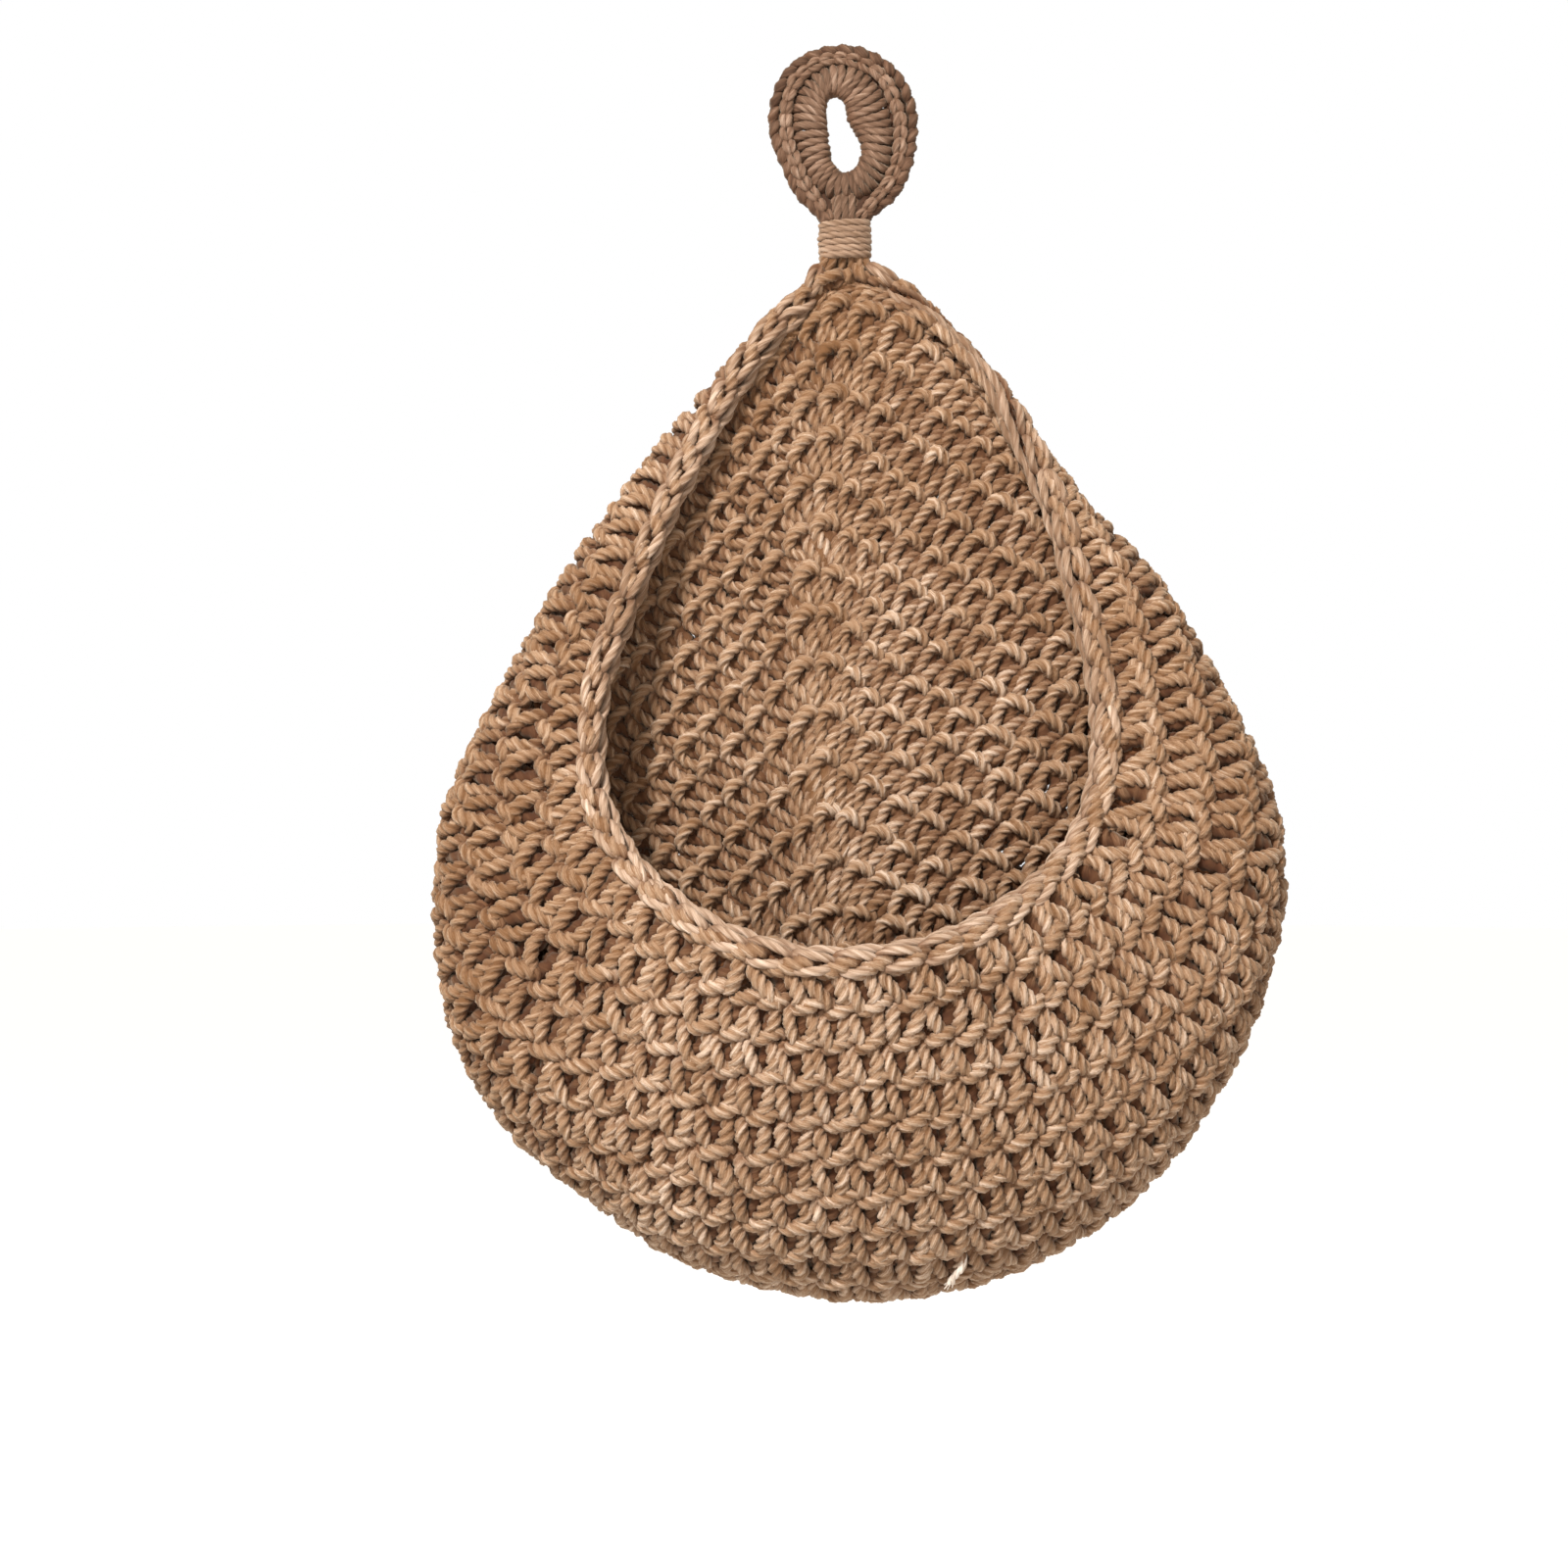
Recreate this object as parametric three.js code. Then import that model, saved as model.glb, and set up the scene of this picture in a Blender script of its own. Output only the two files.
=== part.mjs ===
// Teardrop wall basket, crocheted in jute yarn.  Millimetres, +Z up.
//
// Frame: the wall is the plane Y = 0 and the front faces -Y.  The origin is on
// the wall behind the top of the hanging loop's eye, where a nail carries it.
//
// How the real thing is built: one yarn is worked round and round from a start
// ring low on the back.  Three extra stitches at the top of every round make a
// mitred corner, so the back grows up to a point, while everywhere else the
// rounds run out to the edge, turn forward and come up the front as a pouch.
// Each round is a band of its own here.  A chain edge closes the mouth, and a
// small crocheted loop is tied on at the point with a whipping of yarn.
import * as THREE from 'three';
import { ParametricGeometry } from 'three/addons/geometries/ParametricGeometry.js';
import { mergeVertices } from 'three/addons/utils/BufferGeometryUtils.js';

// ---- driving dimensions -----------------------------------------------------
const ROUNDS = 18;            // rounds from the start ring to the rim
const PITCH = 8.52;           // height of a round on the flat back
const FABRIC = 5.8;           // thickness of the stitched fabric
const BACK_DEPTH = 2.9;       // middle of the back panel, measured from the wall
const START_X = 5.9;          // start ring on the back panel
const START_Z = -235.4;
const MITRE = 37.5;           // degrees, slope of the rounds on the upper back
const MITRE_FROM = 1;         // the point of the rounds grows from this round
const MITRE_FULL = 9;         // and is fully sharp from this one
const FLAT_ROUNDS = 17.3;     // rounds that lie on the back at its point
const SPINE_BOW = 8.0;        // the mitre line bows to the left by this much
const SPINE_LEAN = 3.2;       // and ends this far left of the start ring
const GAP = 0.32;             // clearance between neighbouring bands
const RING_HOLE = 1.6;        // radius of the hole left in the start ring
const RIM_THICK = 7.0;        // the chain edge is fuller than the fabric
const AROUND = 44;            // facets round each band
const EYE_DEPTH = 3.1;        // middle of the hanging loop, from the wall
const LOOP_THICK = 5.6;
const NECK_TOP = -30.9;       // whipping round the neck
const NECK_BOTTOM = -42.0;
const NECK_X = 1.1;
const NECK_DEPTH = 4.1;
const NECK_HALF_W = 6.6;
const NECK_HALF_D = 4.0;
const YARN = 3.0;             // diameter of the jute yarn

// Lines of the fabric's middle surface, one row for each direction out of the
// start ring, clockwise from straight up:
// angle, reach of the back to its outermost point, width and depth of the turn
// at the edge, then the rim point: x, z and depth from the wall.
const LINES = [
  [0.0, 190.5, 3.2, 1.2, 3.4, -44.0, 4.4],
  [2.4, 187.0, 3.5, 1.6, 12.4, -48.2, 5.0],
  [8.9, 169.3, 4.8, 3.0, 29.6, -63.2, 7.0],
  [14.6, 154.6, 6.0, 4.5, 43.1, -82.4, 9.5],
  [19.3, 145.9, 7.0, 5.5, 50.4, -97.8, 12.0],
  [31.1, 133.2, 8.0, 7.5, 57.8, -124.1, 17.0],
  [42.2, 122.4, 9.5, 9.5, 62.0, -144.1, 21.0],
  [54.1, 115.1, 11.0, 11.5, 62.5, -162.7, 25.0],
  [66.5, 106.1, 12.0, 13.0, 57.8, -179.0, 30.5],
  [78.1, 94.2, 13.0, 14.5, 49.4, -189.4, 38.0],
  [97.1, 78.5, 14.0, 16.0, 36.0, -199.1, 48.0],
  [121.9, 64.6, 15.0, 17.0, 21.6, -205.5, 56.0],
  [152.0, 54.4, 15.5, 18.0, 9.2, -208.0, 60.0],
  [181.0, 52.1, 16.0, 18.0, -2.8, -208.7, 61.0],
  [209.9, 55.2, 15.5, 18.0, -14.3, -207.5, 60.0],
  [225.2, 60.8, 15.0, 17.5, -25.8, -204.1, 57.0],
  [245.2, 70.0, 14.0, 16.5, -38.2, -197.4, 51.0],
  [260.1, 83.4, 13.5, 15.5, -47.0, -190.3, 45.0],
  [272.2, 94.0, 13.0, 14.5, -53.6, -181.6, 38.5],
  [287.2, 104.3, 12.0, 13.0, -59.0, -167.8, 30.5],
  [300.7, 114.2, 11.0, 11.5, -59.1, -150.0, 26.0],
  [319.5, 125.5, 9.5, 9.5, -53.7, -130.1, 20.5],
  [331.6, 139.2, 8.0, 7.5, -47.1, -112.8, 16.5],
  [342.0, 155.0, 7.0, 5.5, -38.0, -92.2, 12.0],
  [349.2, 171.3, 5.0, 3.5, -24.0, -67.4, 8.0],
  [354.3, 182.4, 4.0, 2.3, -13.6, -55.2, 6.0],
  [357.6, 189.0, 3.4, 1.5, -4.8, -47.6, 4.8],
  [360.0, 190.5, 3.2, 1.2, 3.4, -44.0, 4.4],
];

// Outline of the hanging loop and of its eye (x, z), clockwise from the top.
const LOOP_OUTER = [
  [0.6, 11.5], [9.0, 9.6], [15.6, 4.6], [19.2, -3.0], [19.3, -11.0], [17.4, -19.0],
  [14.0, -25.8], [8.2, -30.2], [1.2, -30.6], [-5.6, -30.2], [-11.4, -24.8],
  [-14.4, -18.0], [-17.2, -11.0], [-17.6, -3.0], [-14.4, 4.8], [-8.0, 9.8],
];
const LOOP_EYE = [
  [-0.5, 0.0], [1.1, -1.5], [1.8, -4.6], [2.6, -7.8], [4.3, -10.6], [5.2, -14.0],
  [4.5, -17.2], [2.6, -19.0], [0.8, -19.3], [-1.0, -18.7], [-2.6, -17.0],
  [-3.5, -14.0], [-3.6, -10.8], [-3.4, -7.4], [-3.2, -4.0], [-2.2, -1.2],
];

// ---- the fabric surface -----------------------------------------------------
// Cubic through the rows of LINES.
function lineAt(angle) {
  const n = LINES.length;
  const slope = (i) => LINES[i].map((_, c) => {
    const s = (a) => (LINES[a + 1][c] - LINES[a][c]) / (LINES[a + 1][0] - LINES[a][0]);
    if (i === 0) return s(0);
    if (i === n - 1) return s(n - 2);
    const h0 = LINES[i][0] - LINES[i - 1][0];
    const h1 = LINES[i + 1][0] - LINES[i][0];
    return (s(i - 1) * h1 + s(i) * h0) / (h0 + h1);
  });
  let i = 0;
  while (i < n - 2 && angle >= LINES[i + 1][0]) i += 1;
  const h = LINES[i + 1][0] - LINES[i][0];
  const t = (angle - LINES[i][0]) / h;
  const d0 = slope(i);
  const d1 = slope(i + 1);
  return LINES[i].map((y0, c) => {
    const y1 = LINES[i + 1][c];
    return (2 * t ** 3 - 3 * t ** 2 + 1) * y0 + (t ** 3 - 2 * t ** 2 + t) * h * d0[c]
      + (-2 * t ** 3 + 3 * t ** 2) * y1 + (t ** 3 - t ** 2) * h * d1[c];
  });
}

// One line of fabric from the start ring to the rim, cached by its angle.
const profiles = new Map();
function profile(angle) {
  const key = angle.toFixed(5);
  if (profiles.has(key)) return profiles.get(key);
  const [, reach, turnW, turnD, rimX, rimZ, rimDepth] = lineAt(angle);
  const th = THREE.MathUtils.degToRad(angle);
  const dir = new THREE.Vector3(Math.sin(th), 0, Math.cos(th));
  const front = new THREE.Vector3(0, -1, 0);
  const off = Math.acos(THREE.MathUtils.clamp(Math.cos(th), -1, 1));
  const slope = Math.cos(Math.max(THREE.MathUtils.degToRad(MITRE) - off, 0));
  const cf = Math.min(slope, (FLAT_ROUNDS * PITCH) / (reach - turnW));
  const start = new THREE.Vector3(START_X, -BACK_DEPTH, START_Z);
  const leave = start.clone().addScaledVector(dir, reach - turnW);
  const edge = start.clone().addScaledVector(dir, reach).addScaledVector(front, turnD);
  const rim = new THREE.Vector3(rimX, -rimDepth, rimZ);
  const d = rim.clone().sub(edge);
  const len = d.length();
  const end = new THREE.Vector3(d.x, 0.35 * d.y, d.z).normalize();
  const turn = new THREE.CubicBezierCurve3(
    leave,
    leave.clone().addScaledVector(dir, 0.55 * turnW),
    edge.clone().addScaledVector(front, -0.5 * turnD),
    edge,
  );
  const pouch = new THREE.CubicBezierCurve3(
    edge,
    edge.clone().addScaledVector(front, Math.min(0.42 * len, 0.75 * turnD + 0.15 * len)),
    rim.clone().addScaledVector(end, -0.38 * len),
    rim,
  );
  const pts = [...turn.getPoints(59), ...pouch.getPoints(59).slice(1)];
  const run = [0];
  for (let i = 1; i < pts.length; i += 1) run.push(run[i - 1] + pts[i].distanceTo(pts[i - 1]));
  const v0 = ((reach - turnW) * cf) / PITCH;
  const left = ROUNDS - v0;
  const mean = run[run.length - 1] / left;
  const p0 = THREE.MathUtils.clamp(PITCH / cf, 0.6 * mean, 1.6 * mean);
  const pr = { start, dir, cf, pts, run, v0, left, p0, p1: 2 * mean - p0 };
  profiles.set(key, pr);
  return pr;
}

// Moves a point of the back sideways, so that the mitre line bows and leans.
function bowed(p) {
  const t = THREE.MathUtils.clamp((p.z - START_Z) / 191, 0, 1);
  const w = THREE.MathUtils.clamp(4 + 0.62 * (-44 - p.z), 4, 66);
  const side = Math.max(1 - ((p.x - START_X) / w) ** 2, 0) ** 2;
  const flat = THREE.MathUtils.clamp(1 - (-p.y - BACK_DEPTH) / 6, 0, 1);
  p.x -= (SPINE_BOW * Math.sin(Math.PI * t) + SPINE_LEAN * t) * side * flat;
  return p;
}

// Point of the middle surface, on line `angle`, at round number v.
function middle(angle, v) {
  return bowed(unbowed(angle, v));
}

function unbowed(angle, v) {
  const pr = profile(angle);
  if (v <= pr.v0) {
    const sharp = THREE.MathUtils.smoothstep(v, MITRE_FROM, MITRE_FULL);
    const cf = 1 - (1 - pr.cf) * sharp;
    return pr.start.clone().addScaledVector(pr.dir, (v * PITCH) / cf);
  }
  const t = (v - pr.v0) / pr.left;
  const s = pr.left * (pr.p0 * t + ((pr.p1 - pr.p0) * t * t) / 2);
  const { run, pts } = pr;
  if (s >= run[run.length - 1]) return pts[pts.length - 1].clone();
  let i = 0;
  while (i < run.length - 2 && s > run[i + 1]) i += 1;
  return pts[i].clone().lerp(pts[i + 1], (s - run[i]) / (run[i + 1] - run[i]));
}

// Unit normal that points out of the basket: to the wall on the back panel.
function outward(angle, v) {
  const a0 = Math.max(angle - 1.5, 0);
  const a1 = Math.min(angle + 1.5, 360);
  const pr = profile(angle);
  if (v < pr.v0 - 0.3) return new THREE.Vector3(0, 1, 0);
  const b0 = Math.max(v - 0.12, 0);
  const b1 = Math.min(v + 0.12, ROUNDS);
  const one = (x0, x1) => {
    const du = middle(x1, v).sub(middle(x0, v));
    const dv = middle(angle, b1).sub(middle(angle, b0));
    return new THREE.Vector3().crossVectors(dv, du).normalize();
  };
  let n = one(a0, a1);
  if (angle < 1.5 || angle > 358.5) n = one(0, 1.5).add(one(358.5, 360)).normalize();
  return n;
}

// Angles with even spacing along a middle round, a facet joint on the mitre.
const ANGLES = (() => {
  const fine = [];
  for (let a = 0; a <= 360; a += 1) fine.push(a);
  const run = [0];
  for (let i = 1; i < fine.length; i += 1) {
    run.push(run[i - 1] + middle(fine[i], 13).distanceTo(middle(fine[i - 1], 13)));
  }
  const total = run[run.length - 1];
  const out = [];
  for (let k = 0; k < AROUND; k += 1) {
    const s = (k / AROUND) * total;
    let i = 0;
    while (run[i + 1] < s) i += 1;
    out.push(fine[i] + (s - run[i]) / (run[i + 1] - run[i]));
  }
  return out;
})();

// ---- solids -----------------------------------------------------------------
// A closed ring: `at(i, j)` gives the corner j of the section at facet i.
function ringGeometry(around, corners, at) {
  const grid = [];
  for (let i = 0; i < around; i += 1) {
    grid.push([]);
    for (let j = 0; j < corners; j += 1) grid[i].push(at(i, j));
  }
  const func = (u, v, target) => {
    const i = Math.round(u * around) % around;
    const j = Math.round(v * corners) % corners;
    target.copy(grid[i][j]);
  };
  let geo = new ParametricGeometry(func, around, corners);
  geo.deleteAttribute('normal');
  geo.deleteAttribute('uv');
  geo = mergeVertices(geo, 1e-4);
  return facedOut(geo);
}

// Turns the faces round if the solid is inside out.
function facedOut(geo) {
  const p = geo.attributes.position;
  const ix = geo.index.array;
  const a = new THREE.Vector3();
  const b = new THREE.Vector3();
  const c = new THREE.Vector3();
  let vol = 0;
  for (let i = 0; i < ix.length; i += 3) {
    a.fromBufferAttribute(p, ix[i]);
    b.fromBufferAttribute(p, ix[i + 1]);
    c.fromBufferAttribute(p, ix[i + 2]);
    vol += a.dot(b.cross(c)) / 6;
  }
  if (vol < 0) {
    for (let i = 0; i < ix.length; i += 3) [ix[i + 1], ix[i + 2]] = [ix[i + 2], ix[i + 1]];
  }
  geo.computeVertexNormals();
  return geo;
}

// A round of stitches between round numbers v0 and v1.  Its outer side is flat
// across the band, its inner side has a low ridge.  Every second band runs the
// other way round, so that the facets of facing walls lie parallel.
function band(v0, v1, thick = FABRIC) {
  const h = FABRIC / 2;
  const edge = thick / 2;
  const ridge = 0.55;
  const back = Math.round(v1) % 2 === 0;
  return ringGeometry(AROUND, 5, (i, j) => {
    const angle = ANGLES[back ? (AROUND - i) % AROUND : i];
    const v = [v0, v1, v1, (v0 + v1) / 2, v0][j];
    const k = [h, edge, -edge * ridge, -edge, -h * ridge][j];
    // Neighbouring bands share the direction of their facing walls.
    const n = outward(angle, j === 3 ? v : Math.round(v));
    return middle(angle, v).addScaledVector(n, k);
  });
}

// A ring between two fractions of the way from the loop's eye to its outline.
function loopBand(f0, f1, thick) {
  const eye = new THREE.CatmullRomCurve3(LOOP_EYE.map(([x, z]) => new THREE.Vector3(x, 0, z)), true);
  const out = new THREE.CatmullRomCurve3(LOOP_OUTER.map(([x, z]) => new THREE.Vector3(x, 0, z)), true);
  const n = 32;
  const h = thick / 2;
  return ringGeometry(n, 6, (i, j) => {
    const f = [f0, (f0 + f1) / 2, f1, f1, (f0 + f1) / 2, f0][j];
    const y = [0.62, 1, 0.62, -0.62, -1, -0.62][j] * h;
    const p = eye.getPoint(i / n).lerp(out.getPoint(i / n), f);
    p.y = -EYE_DEPTH + y;
    return p;
  });
}

const jute = (r, g, b, rough) => new THREE.MeshStandardMaterial({
  color: new THREE.Color(r, g, b), roughness: rough, metalness: 0,
});
const group = new THREE.Group();
function add(name, geometry, material) {
  const mesh = new THREE.Mesh(geometry, material);
  mesh.name = name;
  group.add(mesh);
  return mesh;
}
const gapV = GAP / 2 / PITCH;

// The start ring, drawn tight round a small hole.
add('start_ring', band(RING_HOLE / PITCH, 1 - gapV), jute(0.4, 0.25, 0.15, 0.92));

// The rounds of single crochet.
for (let k = 2; k < ROUNDS; k += 1) {
  const name = `round_${String(k).padStart(2, '0')}`;
  const tone = 0.96 + 0.04 * Math.sin(2.1 * k);
  add(name, band(k - 1 + gapV, k - gapV), jute(0.42 * tone, 0.265 * tone, 0.165 * tone, 0.92));
}

// The chain edge of the mouth.
add('rim_chain', band(ROUNDS - 1 + gapV, ROUNDS, RIM_THICK), jute(0.5, 0.34, 0.23, 0.88));

// The hanging loop: foundation chain, stitches worked over it, chain edge.
add('loop_foundation_chain', loopBand(0.0, 0.17, LOOP_THICK * 0.9), jute(0.36, 0.22, 0.13, 0.92));
add('loop_stitches', loopBand(0.2, 0.61, LOOP_THICK), jute(0.4, 0.25, 0.155, 0.92));
add('loop_edge_chain', loopBand(0.64, 1.0, LOOP_THICK), jute(0.44, 0.28, 0.18, 0.9));

// The tails of the loop and of the basket, gathered inside the whipping.
{
  const bundle = new THREE.CylinderGeometry(1, 1, NECK_TOP - NECK_BOTTOM, 12, 1);
  bundle.deleteAttribute('normal');
  bundle.deleteAttribute('uv');
  const geo = mergeVertices(bundle, 1e-4);
  geo.rotateX(Math.PI / 2);
  geo.scale(NECK_HALF_W - YARN * 0.75 - 0.3, NECK_HALF_D - YARN * 0.6 - 0.3, 1);
  geo.translate(NECK_X, -NECK_DEPTH, (NECK_TOP + NECK_BOTTOM) / 2);
  add('neck_core_strands', facedOut(geo), jute(0.4, 0.25, 0.15, 0.92));
}

// The whipping: turns of yarn round the neck, a sleeve with a bulged outside.
{
  const z0 = NECK_BOTTOM;
  const z1 = NECK_TOP;
  const zm = (z0 + z1) / 2;
  const wallW = YARN * 0.75;
  const wallD = YARN * 0.6;
  const rings = [
    [0, z0], [0.86, z0 + 0.001], [1, z0 + 1.6], [0.97, zm], [1, z1 - 1.6], [0.86, z1 - 0.001], [0, z1],
  ];
  const geo = ringGeometry(20, rings.length, (i, j) => {
    const t = (i / 20) * 2 * Math.PI;
    const [f, z] = rings[j];
    const rw = NECK_HALF_W - wallW + wallW * f;
    const rd = NECK_HALF_D - wallD + wallD * f;
    return new THREE.Vector3(NECK_X + rw * Math.cos(t), -NECK_DEPTH + rd * Math.sin(t), z);
  });
  add('neck_whipping', geo, jute(0.46, 0.3, 0.19, 0.9));
}

// The fastened-off end of the yarn, a short tuft that lies on the front, low on the pouch.
{
  const at = middle(157.2, 9.4);
  const n = outward(157.2, 9.4);
  const tuft = new THREE.CylinderGeometry(0.7, 1.0, 6.0, 8, 1);
  tuft.deleteAttribute('normal');
  tuft.deleteAttribute('uv');
  const geo = mergeVertices(tuft, 1e-4);
  const up = new THREE.Vector3(0, 1, 0);
  const lie = middle(157.6, 9.9).sub(middle(156.9, 8.9));
  lie.addScaledVector(n, -lie.dot(n)).normalize();
  geo.applyQuaternion(new THREE.Quaternion().setFromUnitVectors(up, lie));
  const seat = at.addScaledVector(n, FABRIC / 2 + 1.4);
  geo.translate(seat.x, seat.y, seat.z);
  add('yarn_end', facedOut(geo), jute(0.6, 0.45, 0.33, 0.95));
}

export default group;
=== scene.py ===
"""Crocheted jute wall basket: every round of stitches is laid as real yarn.

The numbers of the fabric surface are the same as those of the solid model.
Lengths are in millimetres until a mesh is made, and in metres from there on.
"""
import math

import bpy
import numpy as np
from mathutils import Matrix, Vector


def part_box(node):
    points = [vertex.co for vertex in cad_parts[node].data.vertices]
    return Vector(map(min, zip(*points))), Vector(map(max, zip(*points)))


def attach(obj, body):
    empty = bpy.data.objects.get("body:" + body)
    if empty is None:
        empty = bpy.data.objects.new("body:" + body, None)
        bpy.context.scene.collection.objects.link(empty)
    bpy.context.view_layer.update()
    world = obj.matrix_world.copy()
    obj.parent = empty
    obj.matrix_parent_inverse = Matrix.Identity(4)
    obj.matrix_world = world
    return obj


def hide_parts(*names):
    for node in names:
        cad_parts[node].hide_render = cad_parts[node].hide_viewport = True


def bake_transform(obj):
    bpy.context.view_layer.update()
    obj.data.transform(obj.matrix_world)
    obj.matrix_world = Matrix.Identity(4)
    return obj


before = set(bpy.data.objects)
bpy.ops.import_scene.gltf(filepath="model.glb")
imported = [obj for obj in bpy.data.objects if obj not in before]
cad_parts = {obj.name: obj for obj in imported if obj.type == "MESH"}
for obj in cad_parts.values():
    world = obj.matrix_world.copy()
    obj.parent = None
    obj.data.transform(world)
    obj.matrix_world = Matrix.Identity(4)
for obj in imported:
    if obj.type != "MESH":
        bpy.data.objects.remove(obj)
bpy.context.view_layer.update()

MM = 0.001
TAU = 2 * math.pi

# ------------------------------------------------------------------ camera
# The wall is the plane y = 0.  The picture is 384 mm wide there, from 650 mm.
CAM = (-13.68, -650.0, -168.48)
cam_data = bpy.data.cameras.new("camera")
cam_data.sensor_fit = "HORIZONTAL"
cam_data.sensor_width = 36.0
cam_data.lens = 36.0 * 650.0 / 384.0
cam_data.clip_start = 0.01
cam_data.clip_end = 50.0
cam = bpy.data.objects.new("camera", cam_data)
bpy.context.scene.collection.objects.link(cam)
cam.location = [c * MM for c in CAM]
cam.rotation_euler = (math.radians(90), 0, 0)
bpy.context.scene.camera = cam

# ------------------------------------------------------------------ the fabric surface
OX, OZ, BACK = 5.9, -235.4, 2.9
ROUNDS, PITCH = 18, 8.52
FLAT_ROUNDS = 17.3
MITRE = math.radians(37.5)
# angle, reach, width and depth of the turn, then the rim point: x, z and depth
LINES = np.array([
    [0.0, 190.5, 3.2, 1.2, 3.4, -44.0, 4.4],
    [2.4, 187.0, 3.5, 1.6, 12.4, -48.2, 5.0],
    [8.9, 169.3, 4.8, 3.0, 29.6, -63.2, 7.0],
    [14.6, 154.6, 6.0, 4.5, 43.1, -82.4, 9.5],
    [19.3, 145.9, 7.0, 5.5, 50.4, -97.8, 12.0],
    [31.1, 133.2, 8.0, 7.5, 57.8, -124.1, 17.0],
    [42.2, 122.4, 9.5, 9.5, 62.0, -144.1, 21.0],
    [54.1, 115.1, 11.0, 11.5, 62.5, -162.7, 25.0],
    [66.5, 106.1, 12.0, 13.0, 57.8, -179.0, 30.5],
    [78.1, 94.2, 13.0, 14.5, 49.4, -189.4, 38.0],
    [97.1, 78.5, 14.0, 16.0, 36.0, -199.1, 48.0],
    [121.9, 64.6, 15.0, 17.0, 21.6, -205.5, 56.0],
    [152.0, 54.4, 15.5, 18.0, 9.2, -208.0, 60.0],
    [181.0, 52.1, 16.0, 18.0, -2.8, -208.7, 61.0],
    [209.9, 55.2, 15.5, 18.0, -14.3, -207.5, 60.0],
    [225.2, 60.8, 15.0, 17.5, -25.8, -204.1, 57.0],
    [245.2, 70.0, 14.0, 16.5, -38.2, -197.4, 51.0],
    [260.1, 83.4, 13.5, 15.5, -47.0, -190.3, 45.0],
    [272.2, 94.0, 13.0, 14.5, -53.6, -181.6, 38.5],
    [287.2, 104.3, 12.0, 13.0, -59.0, -167.8, 30.5],
    [300.7, 114.2, 11.0, 11.5, -59.1, -150.0, 26.0],
    [319.5, 125.5, 9.5, 9.5, -53.7, -130.1, 20.5],
    [331.6, 139.2, 8.0, 7.5, -47.1, -112.8, 16.5],
    [342.0, 155.0, 7.0, 5.5, -38.0, -92.2, 12.0],
    [349.2, 171.3, 5.0, 3.5, -24.0, -67.4, 8.0],
    [354.3, 182.4, 4.0, 2.3, -13.6, -55.2, 6.0],
    [357.6, 189.0, 3.4, 1.5, -4.8, -47.6, 4.8],
    [360.0, 190.5, 3.2, 1.2, 3.4, -44.0, 4.4],
])


def cubic_rows(xs, ys, x):
    n = len(xs)
    h = np.diff(xs)[:, None]
    s = np.diff(ys, axis=0) / h
    d = np.empty_like(ys)
    d[1:-1] = (s[:-1] * h[1:] + s[1:] * h[:-1]) / (h[1:] + h[:-1])
    d[0], d[-1] = s[0], s[-1]
    i = np.clip(np.searchsorted(xs, x, side="right") - 1, 0, n - 2)
    H = (xs[i + 1] - xs[i])[:, None]
    t = (x - xs[i])[:, None] / H
    return ((2 * t**3 - 3 * t**2 + 1) * ys[i] + (t**3 - 2 * t**2 + t) * H * d[i]
            + (-2 * t**3 + 3 * t**2) * ys[i + 1] + (t**3 - t**2) * H * d[i + 1])


def bezier(a, b, c, d, t):
    t = t[:, None]
    return (1 - t) ** 3 * a + 3 * (1 - t) ** 2 * t * b + 3 * (1 - t) * t**2 * c + t**3 * d


def bowed(p):
    """Moves the back sideways, so that the mitre line bows and leans."""
    p = p.copy()
    t = np.clip((p[:, 2] - OZ) / 191, 0, 1)
    w = np.clip(4 + 0.62 * (-44 - p[:, 2]), 4, 66)
    side = np.clip(1 - ((p[:, 0] - OX) / w) ** 2, 0, None) ** 2
    flat = np.clip(1 - (-p[:, 1] - BACK) / 6, 0, 1)
    p[:, 0] -= (8.0 * np.sin(np.pi * t) + 3.2 * t) * side * flat
    return p


V_STEP = 0.125
V_GRID = np.arange(0, ROUNDS + 0.5 + 1e-9, V_STEP)


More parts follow.
